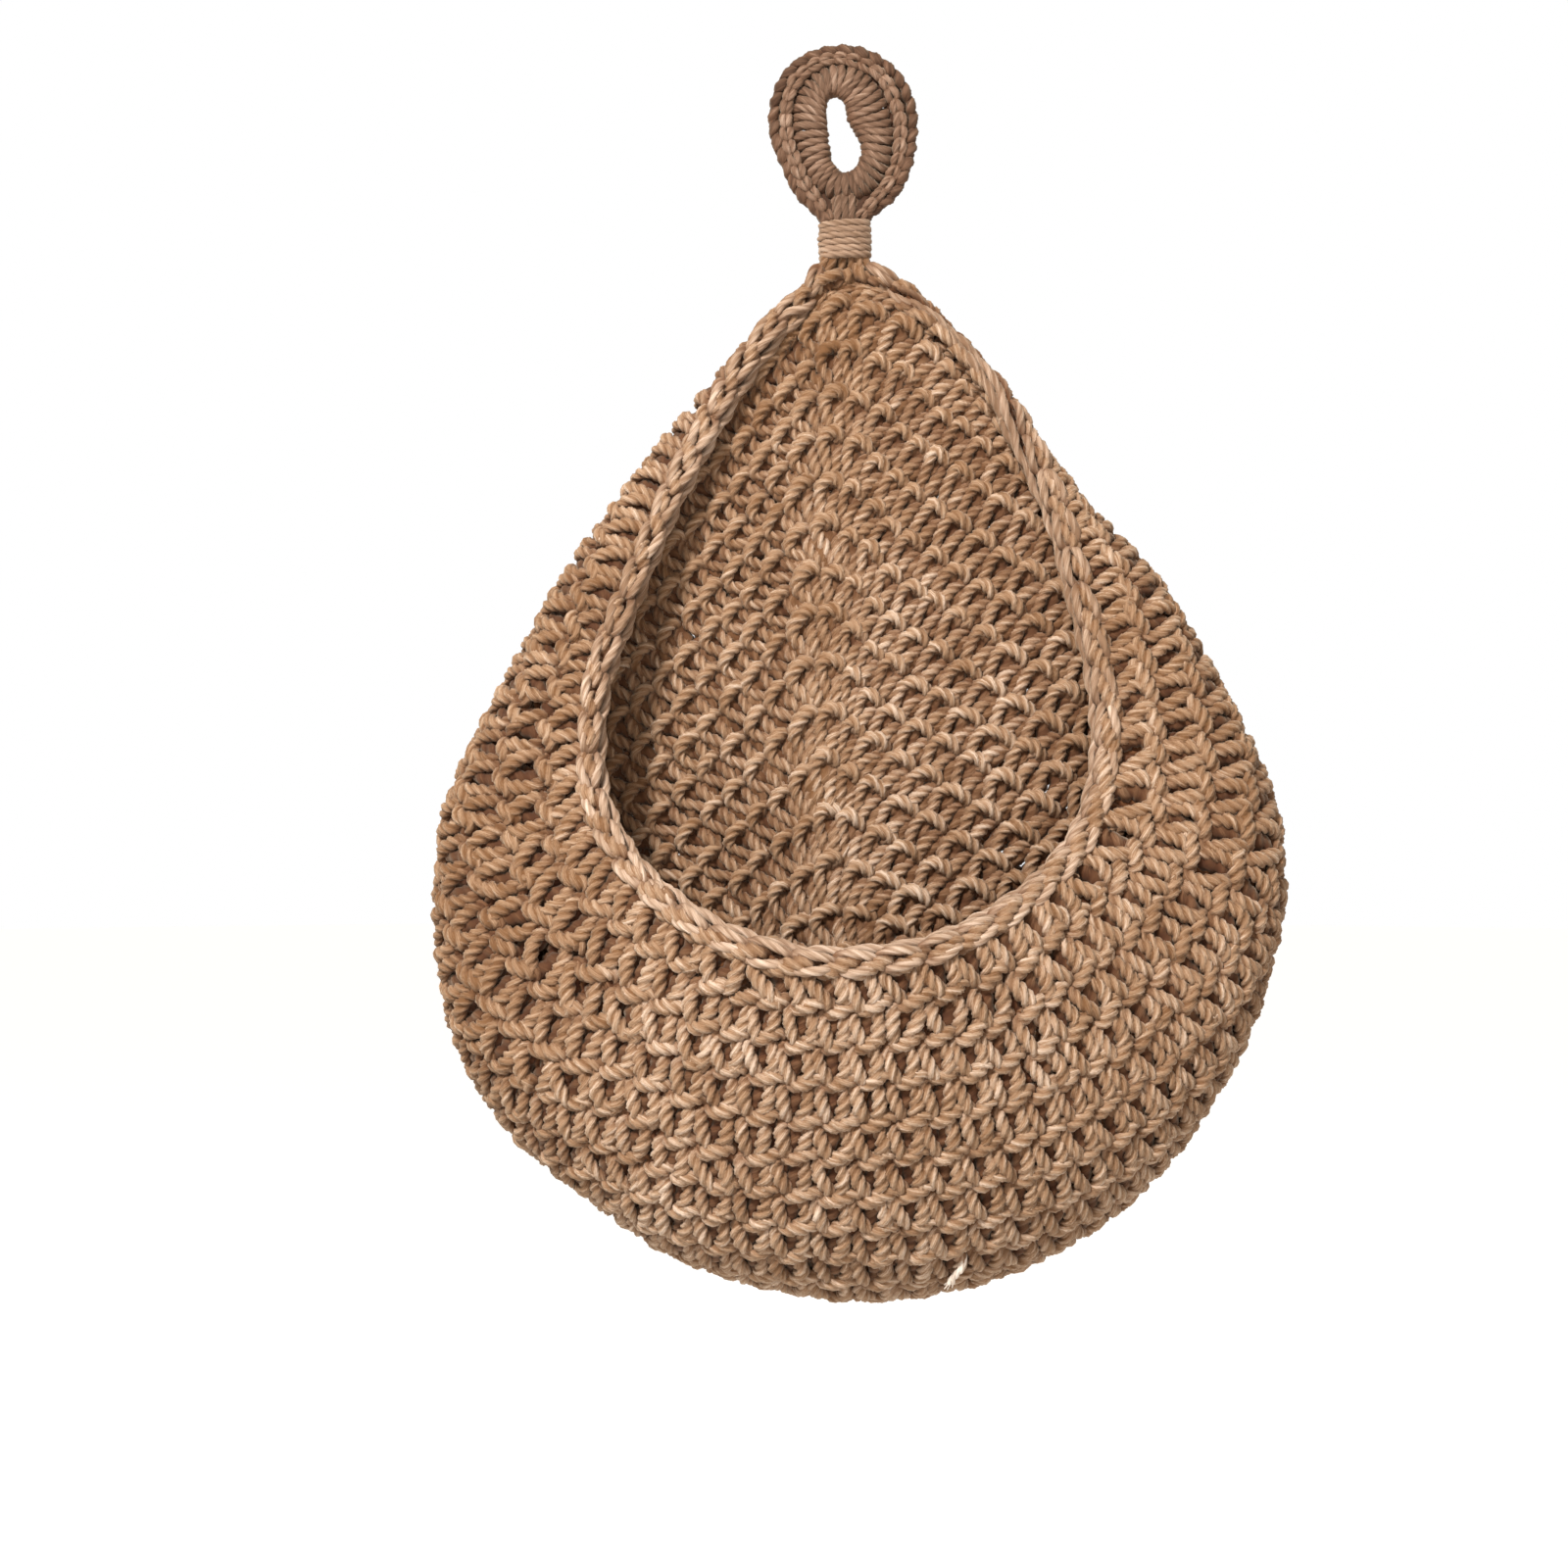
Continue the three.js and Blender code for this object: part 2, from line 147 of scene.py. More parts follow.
def fabric_line(angle):
    reach, tw, td, rx, rz, rd = cubic_rows(LINES[:, 0], LINES[:, 1:], np.array([angle]))[0]
    th = np.radians(angle)
    e = np.array([np.sin(th), 0.0, np.cos(th)])
    f = np.array([0.0, -1.0, 0.0])
    off = np.arccos(np.clip(np.cos(th), -1, 1))
    cf = min(np.cos(max(MITRE - off, 0.0)), FLAT_ROUNDS * PITCH / (reach - tw))
    o = np.array([OX, -BACK, OZ])
    leave, edge, rim = o + e * (reach - tw), o + e * reach + f * td, np.array([rx, -rd, rz])
    d = rim - edge
    L = np.linalg.norm(d)
    end = np.array([d[0], 0.35 * d[1], d[2]])
    end /= np.linalg.norm(end)
    s = np.linspace(0, 1, 60)
    c1 = bezier(leave, leave + e * 0.55 * tw, edge - f * 0.5 * td, edge, s)
    c2 = bezier(edge, edge + f * min(0.42 * L, 0.75 * td + 0.15 * L), rim - end * 0.38 * L, rim, s)[1:]
    c = np.vstack([c1, c2])
    run = np.r_[0, np.cumsum(np.linalg.norm(np.diff(c, axis=0), axis=1))]
    v0 = (reach - tw) * cf / PITCH
    left = ROUNDS - v0
    mean = run[-1] / left
    p0 = np.clip(PITCH / cf, 0.6 * mean, 1.6 * mean)
    p1 = 2 * mean - p0
    v = V_GRID
    sharp = np.clip((v - 1.0) / 8.0, 0, 1)
    sharp = sharp * sharp * (3 - 2 * sharp)
    flat = o + e * (np.minimum(v, v0) * PITCH / (1 - (1 - cf) * sharp))[:, None]
    t = np.clip((v - v0) / left, 0, None)
    q = left * (p0 * t + (p1 - p0) * t * t / 2)
    bent = np.stack([np.interp(q, run, c[:, k]) for k in range(3)], 1)
    over = np.clip(v - ROUNDS, 0, None)[:, None] * PITCH
    bent = bent + over * (c[-1] - c[-3]) / np.linalg.norm(c[-1] - c[-3])
    return bowed(np.where((v <= v0)[:, None], flat, bent))


def build_surface(nu=1200):
    ang = np.linspace(0, 360, 1441)
    raw = np.stack([fabric_line(a) for a in ang])
    k = np.exp(-0.5 * (np.arange(-16, 17) / 7.0) ** 2)
    k /= k.sum()
    pad = 16
    ext = np.concatenate([raw[-1 - pad:-1], raw, raw[1:1 + pad]])
    sm = np.stack([np.apply_along_axis(lambda x: np.convolve(x, k, "valid"), 0, ext[:, j, :])
                   for j in range(raw.shape[1])], 1)
    wgt = np.clip((np.minimum(ang, 360 - ang) - 2.0) / 8.0, 0, 1)[:, None, None]
    raw = raw * (1 - wgt) + sm * wgt
    P = np.empty((nu + 1, len(V_GRID), 3))
    length = np.empty(len(V_GRID))
    for j in range(len(V_GRID)):
        c = raw[:, j]
        run = np.r_[0, np.cumsum(np.linalg.norm(np.diff(c, axis=0), axis=1))]
        length[j] = run[-1]
        if run[-1] < 1e-6:
            P[:, j] = c[0]
            continue
        q = np.linspace(0, run[-1], nu + 1)
        for a in range(3):
            P[:, j, a] = np.interp(q, run, c[:, a])
    du = np.roll(P[:-1], -3, axis=0) - np.roll(P[:-1], 3, axis=0)
    dv = np.empty_like(P[:-1])
    dv[:, 1:-1] = P[:-1, 2:] - P[:-1, :-2]
    dv[:, 0], dv[:, -1] = P[:-1, 1] - P[:-1, 0], P[:-1, -1] - P[:-1, -2]
    n = np.cross(dv, du)
    n /= np.linalg.norm(n, axis=2, keepdims=True) + 1e-12
    n[:, 0] = (0, 1, 0)
    n[:, 1] = (0, 1, 0)
    for _ in range(3):
        n = (np.roll(n, 4, 0) + 2 * n + np.roll(n, -4, 0)) / 4
    n /= np.linalg.norm(n, axis=2, keepdims=True) + 1e-12
    return P, np.concatenate([n, n[:1]]), length


P_G, N_G, LEN = build_surface()
NU = P_G.shape[0] - 1


def on_fabric(u, v):
    """Place and outward normal of the middle surface: u is the share of the way round, v the round number."""
    u = np.mod(u, 1.0) * NU
    v = np.clip(v, 0.0, V_GRID[-1] - 1e-6) / V_STEP
    i, j = np.floor(u).astype(int), np.floor(v).astype(int)
    fu, fv = (u - i)[..., None], (v - j)[..., None]

    def mix(G):
        return (G[i, j] * (1 - fu) * (1 - fv) + G[i + 1, j] * fu * (1 - fv)
                + G[i, j + 1] * (1 - fu) * fv + G[i + 1, j + 1] * fu * fv)

    n = mix(N_G)
    return mix(P_G), n / (np.linalg.norm(n, axis=-1, keepdims=True) + 1e-12)


def around(v):
    return np.interp(v, V_GRID, LEN)


# ------------------------------------------------------------------ where the stitches go
def stitch_width(k):
    return 8.6 - 0.65 * np.clip((k - 7) / 5.0, 0, 1)


def lay_stitches():
    rng = np.random.default_rng(11)
    rounds = [dict(base=np.arange(6) / 6.0, top=np.arange(6) / 6.0)]
    for k in range(2, ROUNDS + 1):
        prev = rounds[-1]["top"]
        L = around(k)
        ring = P_G[:-1, int(round(k / V_STEP))]
        bp, _ = on_fabric(prev, np.full(len(prev), float(k - 1)))
        foot = np.array([np.argmin(((ring - b) ** 2).sum(1)) for b in bp]) / NU
        foot[0] = 0.0
        foot = np.where((prev > 0.5) & (foot < 0.1), foot + 1, foot)
        foot = np.where((prev < 0.5) & (foot > 0.9), 0.0, foot)
        items = [[foot[i], [i]] for i in range(len(prev))]
        items.sort(key=lambda t: t[0])
        want = max(6, int(round(L / stitch_width(k))))
        for side in (1, -1):
            f = np.array([t[0] for t in items])
            gap = (f[1] if side == 1 else 1 - f[-1]) * L
            if gap > 1.36 * stitch_width(k):
                items.append([gap * 0.47 / L if side == 1 else 1 - gap * 0.47 / L, [0]])
                items.sort(key=lambda t: t[0])
        guard = 0
        while len(items) != want and guard < 60:
            guard += 1
            f = np.array([t[0] for t in items])
            gap = np.diff(np.r_[f, f[0] + 1]) * L
            if len(items) < want:
                score = gap + 0.8 * rng.random(len(gap))
                i = int(np.argmax(score))
                nxt = items[(i + 1) % len(items)]
                pos = (f[i] + gap[i] / L / 2) % 1.0
                par = items[i][1][0] if (i == 0 or rng.random() < 0.5) and (i + 1) % len(items) != 0 else nxt[1][0]
                if i == len(items) - 1:
                    par = nxt[1][0]
                if i == 0:
                    par = items[0][1][0]
                items.append([pos, [par]])
                items.sort(key=lambda t: t[0])
            else:
                score = gap.copy() + 0.5 * rng.random(len(gap))
                far = np.minimum(f, 1 - f) * L
                score += np.where(far < 120, 60, 0) + np.where(far < 60, 60, 0)
                i = int(np.argmin(score))
                a, b = items[i], items[(i + 1) % len(items)]
                items[i] = [(a[0] + b[0]) / 2, [a[1][0], b[1][0]]]
                items.pop((i + 1) % len(items))
        f = np.array([t[0] for t in items])
        f[0] = 0.0
        for _ in range(5):
            fl = np.r_[f[-1] - 1, f[:-1]]
            fr = np.r_[f[1:], f[0] + 1]
            g = f + 0.22 * (fl + fr - 2 * f)
            g[0] = 0.0
            f = g
        parent = [t[1] for t in items]
        base = np.array([prev[p[0]] if len(p) == 1 else (prev[p[0]] + prev[p[1]]) / 2 for p in parent])
        base = base + np.round(f - base)
        Lb = around(k - 1)
        first = np.array([p[0] for p in parent])
        for i in range(len(f)):
            sib = np.where(first == first[i])[0]
            if len(sib) > 1:
                tops = f[sib] - np.round(f[sib] - f[i])
                rank = np.sum(tops < f[i]) - (len(sib) - 1) / 2
                base[i] += rank * (4.0 if len(sib) == 2 else 4.1) / Lb
        rounds.append(dict(base=base, top=f))
    sway = np.r_[0, 0, 0, rng.uniform(-3.4, 3.4, ROUNDS - 2)]
    for k in range(2, ROUNDS + 1):
        for name, row in (("base", k - 1), ("top", k)):
            u = rounds[k - 1][name]
            off = (np.mod(u + 0.5, 1.0) - 0.5) * around(row)
            rounds[k - 1][name] = u + sway[row] * np.exp(-(off / 17.0) ** 2) / around(row)
    return rounds


LAYOUT = lay_stitches()

# ------------------------------------------------------------------ yarn
rng = np.random.default_rng(4)


def smooth_noise(n, every, closed, gen):
    """n values of a soft random wave between -1 and 1, that changes about once in `every` steps."""
    m = max(4, int(round(n / every)))
    knots = gen.uniform(-1, 1, m + (0 if closed else 1))
    x = np.arange(n) * (m / n)
    i = np.floor(x).astype(int)
    t = x - i
    t = t * t * (3 - 2 * t)
    a = knots[i % len(knots)]
    b = knots[(i + 1) % len(knots)] if closed else knots[np.minimum(i + 1, len(knots) - 1)]
    return a * (1 - t) + b * t


def even_curve(ctrl, closed, step, dirs=None):
    """A smooth curve through the control points, cut into even steps.  dirs are numbers that go with the points."""
    c = np.asarray(ctrl, float)
    keep = np.r_[True, np.linalg.norm(np.diff(c, axis=0), axis=1) > 1e-3]
    c = c[keep]
    if dirs is not None:
        dirs = dirs[keep]
    if closed:
        if np.linalg.norm(c[0] - c[-1]) < 1e-3:
            c = c[:-1]
            if dirs is not None:
                dirs = dirs[:-1]
        p = np.vstack([c[-1:], c, c[:2]])
    else:
        p = np.vstack([2 * c[:1] - c[1:2], c, 2 * c[-1:] - c[-2:-1]])
    d = np.maximum(np.linalg.norm(np.diff(p, axis=0), axis=1), 1e-6) ** 0.5
    p0, p1, p2, p3 = p[:-3], p[1:-2], p[2:-1], p[3:]
    d0, d1, d2 = d[:-2, None], d[1:-1, None], d[2:, None]
    m1 = d1 * ((p1 - p0) / d0 - (p2 - p0) / (d0 + d1) + (p2 - p1) / d1)
    m2 = d1 * ((p2 - p1) / d1 - (p3 - p1) / (d1 + d2) + (p3 - p2) / d2)
    t = np.arange(8)[None, :, None] / 8
    q = ((2 * t**3 - 3 * t**2 + 1) * p1[:, None] + (t**3 - 2 * t**2 + t) * m1[:, None]
         + (-2 * t**3 + 3 * t**2) * p2[:, None] + (t**3 - t**2) * m2[:, None]).reshape(-1, 3)
    q = np.vstack([q, p2[-1:]])
    run = np.r_[0, np.cumsum(np.linalg.norm(np.diff(q, axis=0), axis=1))]
    n = max(4, int(round(run[-1] / step)))
    s = np.linspace(0, run[-1], n + 1)
    out = np.stack([np.interp(s, run, q[:, a]) for a in range(3)], 1)
    if closed:
        out = out[:-1]
        for _ in range(2):
            out = 0.25 * np.roll(out, 1, 0) + 0.5 * out + 0.25 * np.roll(out, -1, 0)
    else:
        for _ in range(2):
            out[1:-1] = 0.25 * out[:-2] + 0.5 * out[1:-1] + 0.25 * out[2:]
    if dirs is None:
        return out
    at = np.r_[run[:-1:8], run[-1]]
    if closed:
        dirs = np.vstack([dirs, dirs[:1]])
    s = s[:len(out)]
    return out, np.stack([np.interp(s, at, dirs[:, a]) for a in range(dirs.shape[1])], 1)


def carried_frames(c, closed):
    """Unit tangents and two side vectors that don't spin, for each point of a curve."""
    if closed:
        t = np.roll(c, -1, 0) - np.roll(c, 1, 0)
    else:
        t = np.gradient(c, axis=0)
    t /= np.linalg.norm(t, axis=1, keepdims=True) + 1e-12
    n = len(c)
    T = t.tolist()
    first = np.cross(t[0], [0.0, 0.3, 1.0])
    first /= np.linalg.norm(first) + 1e-12
    x, y, z = first.tolist()
    side = [(x, y, z)]
    for i in range(1, n):
        a, b, e = T[i]
        k = x * a + y * b + z * e
        x, y, z = x - k * a, y - k * b, z - k * e
        m = math.sqrt(x * x + y * y + z * z) + 1e-12
        x, y, z = x / m, y / m, z / m
        side.append((x, y, z))
    u = np.array(side)
    w = np.cross(t, u)
    spin = np.zeros(n)
    if closed:
        a, b, e = T[0]
        v = u[-1] - (u[-1] @ t[0]) * t[0]
        v /= np.linalg.norm(v) + 1e-12
        gap = math.atan2(v @ w[0], v @ u[0])
        spin = -gap * np.arange(n) / n
    return t, u, w, spin


class Yarn:
    """Collects tubes of yarn, and makes one mesh of them."""

    def __init__(self):
        self.verts, self.quads, self.caps = [], [], []
        self.along, self.groove, self.tint, self.proud, self.uvs, self.cap_uvs = [], [], [], [], [], []
        self.count = 0
        self.strips = []

    def tube(self, centre, closed, radius, sides=12, plies=3, lay=9.0, depth=0.2, seed=0, wander=0.05, press=None, height=None, tint=0.0):
        """press: directions in which the yarn is flattened, and by what share; height: how far the middle
        of the yarn stands out from the fabric's middle along those directions, which sets its painted light and shade."""
        gen = np.random.default_rng(seed)
        n = len(centre)
        t, u, w, spin = carried_frames(centre, closed)
        seg = np.linalg.norm(np.diff(np.vstack([centre, centre[:1]]) if closed else centre, axis=0), axis=1)
        run = np.r_[0, np.cumsum(seg)]
        total = run[-1]
        s = run[:n]
        turns = total / lay
        if closed:
            turns = max(round(turns * plies), 1) / plies
            # the plies meet again, also after the carried frame has been closed
        phi = TAU * turns * s / total + spin + gen.uniform(0, TAU)
        ang = TAU * np.arange(sides) / sides
        r = np.full(n, 1.0) * radius
        radius = float(np.mean(radius))
        r = r * (1 + wander * smooth_noise(n, 14, closed, gen))
        swell = 1 - depth + depth * 1.15 * np.abs(np.cos(plies * ang / 2)) if plies > 1 else np.ones(sides)
        rough = 1 + 0.018 * gen.standard_normal((n, sides))
        rad = r[:, None] * swell[None] * rough
        a = ang[None] + phi[:, None]
        co = rad * np.cos(a)
        si = rad * np.sin(a)
        v = centre[:, None] + co[..., None] * u[:, None] + si[..., None] * w[:, None]
        # painted light and shade of the yarn: paler where it stands out of the fabric, darker deep between the strands
        proud = np.full((n, sides), 0.8)
        if press is not None:
            dirs, share = press
            dirs = dirs / (np.linalg.norm(dirs, axis=1, keepdims=True) + 1e-12)
            k = ((v - centre[:, None]) * dirs[:, None]).sum(-1, keepdims=True)
            v = v - k * dirs[:, None] * share
            if height is not None:
                proud = np.clip((np.abs(height[:, None] + k[..., 0] * (1 - share)) - 0.8) / 2.4, 0, 1) ** 1.45
        self.proud.append(proud.reshape(-1))
        base = self.count
        self.verts.append(v.reshape(-1, 3))
        m = n if closed else n - 1
        i = np.arange(m)[:, None]
        j = np.arange(sides)[None]
        i1 = (i + 1) % n
        j1 = (j + 1) % sides
        shift = 0
        if closed:
            # the last ring meets the first one turned by a whole number of plies
            back = (phi[-1] + (phi[-1] - phi[-2]) - phi[0]) / TAU * sides
            shift = int(round(back)) % sides
        jj = np.broadcast_to(j, (m, sides))
        jj1 = np.broadcast_to(j1, (m, sides))
        nj, nj1 = jj.copy(), jj1.copy()
        if closed:
            nj[-1] = (jj[-1] + shift) % sides
            nj1[-1] = (jj1[-1] + shift) % sides
        q = np.stack([base + i * sides + jj, base + i * sides + jj1,
                      base + i1 * sides + nj1, base + i1 * sides + nj], -1).reshape(-1, 4)
        self.quads.append(q)
        half = a * 0 + ang[None] + 0.35 * phi[:, None]
        start = gen.uniform(0, 4000)
        self.along.append(np.stack([np.broadcast_to((s + start)[:, None], (n, sides)),
                                    radius * np.cos(half), radius * np.sin(half)], -1).reshape(-1, 3))
        # tone shift of each point: the yarn's own tone together with painted light and shade
        self.tint.append(np.repeat(np.broadcast_to(np.asarray(tint, float), (n,)), sides))
        g = 1 - np.abs(np.cos(plies * ang / 2)) if plies > 1 else np.zeros(sides)
        self.groove.append(np.broadcast_to(g[None], (n, sides)).reshape(-1))
        # the map: strips of about 55 mm
        per = max(4, int(round(55.0 / (total / m))))
        strip = np.arange(m) // per
        first = len(self.strips)
        for q_i in range(int(strip.max()) + 1):
            self.strips.append(1)
        fu0 = (np.arange(m) - strip * per) / per
        fu1 = fu0 + 1.0 / per
        fv0 = np.arange(sides) / sides
        fv1 = fv0 + 1.0 / sides
        A = np.empty((m, sides, 4, 3))
        A[..., 0, 0], A[..., 1, 0], A[..., 2, 0], A[..., 3, 0] = fu0[:, None], fu0[:, None], fu1[:, None], fu1[:, None]
        A[..., 0, 1], A[..., 1, 1], A[..., 2, 1], A[..., 3, 1] = fv0[None], fv1[None], fv1[None], fv0[None]
        A[..., 2] = (first + strip)[:, None, None]
        self.uvs.append(A.reshape(-1, 4, 3))
        self.count += n * sides
        if not closed:
            for ring, turn in ((0, -1), (n - 1, 1)):
                tip = centre[ring] + t[ring] * turn * radius * 0.35
                self.verts.append(tip[None])
                self.along.append(np.array([[s[ring] + start, 0.0, 0.0]]))
                self.tint.append(np.full(1, float(np.mean(tint))))
                self.proud.append(np.full(1, 0.8))
                self.groove.append(np.zeros(1))
                c = self.count
                self.count += 1
                rj = base + ring * sides + np.arange(sides)
                rk = base + ring * sides + (np.arange(sides) + 1) % sides
                tri = np.stack([rj, rk, np.full(sides, c)], 1) if turn == 1 else np.stack([rk, rj, np.full(sides, c)], 1)
                self.caps.append(tri)
                self.strips.append(0)
                number = len(self.strips) - 1
                ring_uv = 0.5 + 0.45 * np.stack([np.cos(ang), np.sin(ang)], 1)
                nxt = np.roll(ring_uv, -1, 0)
                mid = np.full((sides, 2), 0.5)
                trio = [ring_uv, nxt, mid] if turn == 1 else [nxt, ring_uv, mid]
                B = np.stack(trio, 1)
                B = np.concatenate([B, np.full((sides, 3, 1), float(number))], 2)
                B[..., 0] *= 0.16
                self.cap_uvs.append(B)

    def make(self, name, material):
        verts = np.concatenate(self.verts) * MM
        quads = np.concatenate(self.quads)
        caps = np.concatenate(self.caps) if self.caps else np.zeros((0, 3), int)
        me = bpy.data.meshes.new(name)
        nq, nc = len(quads), len(caps)
        me.vertices.add(len(verts))
        me.vertices.foreach_set("co", verts.astype(np.float32).ravel())
        loops = np.concatenate([quads.ravel(), caps.ravel()]).astype(np.int32)
        me.loops.add(len(loops))
        me.loops.foreach_set("vertex_index", loops)
        me.polygons.add(nq + nc)
        starts = np.concatenate([np.arange(nq) * 4, nq * 4 + np.arange(nc) * 3]).astype(np.int32)
        me.polygons.foreach_set("loop_start", starts)
        me.polygons.foreach_set("use_smooth", np.ones(nq + nc, bool))
        me.update(calc_edges=True)
        att = me.attributes.new("yarn", "FLOAT_VECTOR", "POINT")
        att.data.foreach_set("vector", np.concatenate(self.along).astype(np.float32).ravel())
        att = me.attributes.new("groove", "FLOAT", "POINT")
        att.data.foreach_set("value", np.concatenate(self.groove).astype(np.float32))
        att = me.attributes.new("proud", "FLOAT", "POINT")
        att.data.foreach_set("value", np.concatenate(self.proud).astype(np.float32))
        att = me.attributes.new("tint", "FLOAT", "POINT")
        att.data.foreach_set("value", np.concatenate(self.tint).astype(np.float32))
        # strips of yarn side by side on the map
        count = len(self.strips)
        cols = max(1, int(math.ceil(math.sqrt(count / 6.25))))
        rows = int(math.ceil(count / cols))
        parts = [np.concatenate(self.uvs).reshape(-1, 3)]
        if self.cap_uvs:
            parts.append(np.concatenate(self.cap_uvs).reshape(-1, 3))
        uv = np.concatenate(parts)
        k = uv[:, 2].astype(int)
        x = (k % cols + 0.01 + 0.98 * uv[:, 0]) / cols
        y = (k // cols + 0.04 + 0.92 * uv[:, 1]) / rows
        layer = me.uv_layers.new(name="OFBake")
        layer.data.foreach_set("uv", np.stack([x, y], 1).astype(np.float32).ravel())
        me.validate()
        me.materials.append(material)
        ob = bpy.data.objects.new(name, me)
        bpy.context.scene.collection.objects.link(ob)
        return ob


# ------------------------------------------------------------------ material
def jute(name, shade, light, dark, rough=0.86):
    """Jute yarn: pale and brown fibres that run with the plies, with painted shade in the ply grooves and deep between
    the strands, painted highlight where the yarn stands out, and a dry sheen.
    """
    mat = bpy.data.materials.new(name)
    mat.use_nodes = True
    nt = mat.node_tree
    nt.nodes.clear()
    N, Lk = nt.nodes.new, nt.links.new

    def node(kind, **inputs):
        n = N(kind)
        for key, val in inputs.items():
            n.inputs[key].default_value = val
        return n

    def math_node(op, a, b=None, clamp=False):
        n = N("ShaderNodeMath")
        n.operation = op
        n.use_clamp = clamp
        for i, x in enumerate((a, b)):
            if x is None:
                continue
            if isinstance(x, (int, float)):
                n.inputs[i].default_value = x
            else:
                Lk(x, n.inputs[i])
        return n.outputs[0]

    yarn = N("ShaderNodeAttribute")
    yarn.attribute_name = "yarn"
    groove = N("ShaderNodeAttribute")
    groove.attribute_name = "groove"
    tint = N("ShaderNodeAttribute")
    tint.attribute_name = "tint"
    proud = N("ShaderNodeAttribute")
    proud.attribute_name = "proud"

    def streaks(along, across, detail, rough_, offset):
        m = N("ShaderNodeMapping")
        m.inputs["Scale"].default_value = (along, across, across)
        m.inputs["Location"].default_value = offset
        Lk(yarn.outputs["Vector"], m.inputs["Vector"])
        t = node("ShaderNodeTexNoise", Scale=1.0, Detail=detail, Roughness=rough_)
        Lk(m.outputs[0], t.inputs["Vector"])
        return t.outputs["Fac"]

    fine = streaks(0.22, 4.2, 3.0, 0.65, (0, 0, 0))        # single fibres
    bundle = streaks(0.09, 1.1, 2.0, 0.5, (31, 7, 3))      # strands of fibre
    along = streaks(0.035, 0.12, 2.0, 0.5, (5, 60, 9))     # slow change along the yarn
    coords = N("ShaderNodeTexCoord")
    patch = node("ShaderNodeTexNoise", Scale=38.0, Detail=2.0, Roughness=0.5)
    Lk(coords.outputs["Object"], patch.inputs["Vector"])

    tone = math_node("MULTIPLY_ADD", fine, 1.35)
    nt.nodes[-1].inputs[2].default_value = -0.18
    tone = math_node("ADD", tone, math_node("MULTIPLY", math_node("SUBTRACT", bundle, 0.5), 0.9))
    tone = math_node("ADD", tone, math_node("MULTIPLY", math_node("SUBTRACT", along, 0.5), 0.85))
    tone = math_node("ADD", tone, math_node("MULTIPLY", math_node("SUBTRACT", patch.outputs["Fac"], 0.5), 0.5))
    tone = math_node("ADD", tone, tint.outputs["Fac"])
    # painted shade in the ply grooves
    tone = math_node("SUBTRACT", tone, math_node("MULTIPLY", groove.outputs["Fac"], 0.30), clamp=True)
    ramp = N("ShaderNodeValToRGB")
    cr = ramp.color_ramp
    cr.elements[0].position, cr.elements[0].color = 0.05, (*dark, 1)
    cr.elements[1].position, cr.elements[1].color = 0.95, (*light, 1)
    mid = cr.elements.new(0.5)
    mid.color = (*shade, 1)
    Lk(tone, ramp.inputs["Fac"])

    height = math_node("ADD", math_node("MULTIPLY", fine, 0.7), math_node("MULTIPLY", bundle, 0.5))
    bump = node("ShaderNodeBump", Strength=0.55, Distance=0.00022)
    Lk(height, bump.inputs["Height"])

    p = N("ShaderNodeBsdfPrincipled")
    # painted shade and highlight: deep between the strands the jute is made redder and darker, where it stands out it
    # is made paler
    crevice_shade = N("ShaderNodeMix")
    crevice_shade.data_type = "RGBA"
    crevice_shade.blend_type = "MIX"
    crevice_shade.inputs["A"].default_value = (0.36, 0.205, 0.095, 1)
    crevice_shade.inputs["B"].default_value = (1.17, 1.25, 1.38, 1)
    Lk(proud.outputs["Fac"], crevice_shade.inputs["Factor"])
    both = N("ShaderNodeMix")
    both.data_type = "RGBA"
    both.blend_type = "MULTIPLY"
    both.inputs["Factor"].default_value = 1.0
    Lk(ramp.outputs["Color"], both.inputs["A"])
    Lk(crevice_shade.outputs["Result"], both.inputs["B"])
    Lk(both.outputs["Result"], p.inputs["Base Color"])
    Lk(bump.outputs["Normal"], p.inputs["Normal"])
    r = math_node("MULTIPLY_ADD", fine, 0.22)
    nt.nodes[-1].inputs[2].default_value = rough - 0.16
    Lk(r, p.inputs["Roughness"])
    p.inputs["Specular IOR Level"].default_value = 0.24
    p.inputs["Sheen Weight"].default_value = 0.26
    p.inputs["Sheen Roughness"].default_value = 0.55
    p.inputs["Sheen Tint"].default_value = (1.0, 0.82, 0.62, 1)
    out = N("ShaderNodeOutputMaterial")
    Lk(p.outputs[0], out.inputs["Surface"])
    return mat


SHADE, LIGHT, DARK = (0.296, 0.167, 0.088), (0.560, 0.405, 0.287), (0.140, 0.058, 0.019)
jute_body = jute("jute_body", SHADE, LIGHT, DARK)
jute_rim = jute("jute_rim", (0.400, 0.260, 0.168), (0.650, 0.490, 0.362), (0.200, 0.106, 0.054), 0.84)
jute_loop = jute("jute_loop", (0.225, 0.128, 0.076), (0.430, 0.295, 0.208), (0.092, 0.044, 0.022))
jute_wrap = jute("jute_wrap", (0.310, 0.190, 0.117), (0.490, 0.345, 0.235), (0.165, 0.090, 0.047), 0.85)
jute_end = jute("jute_end", (0.68, 0.55, 0.43), (0.84, 0.74, 0.62), (0.50, 0.37, 0.26), 0.9)

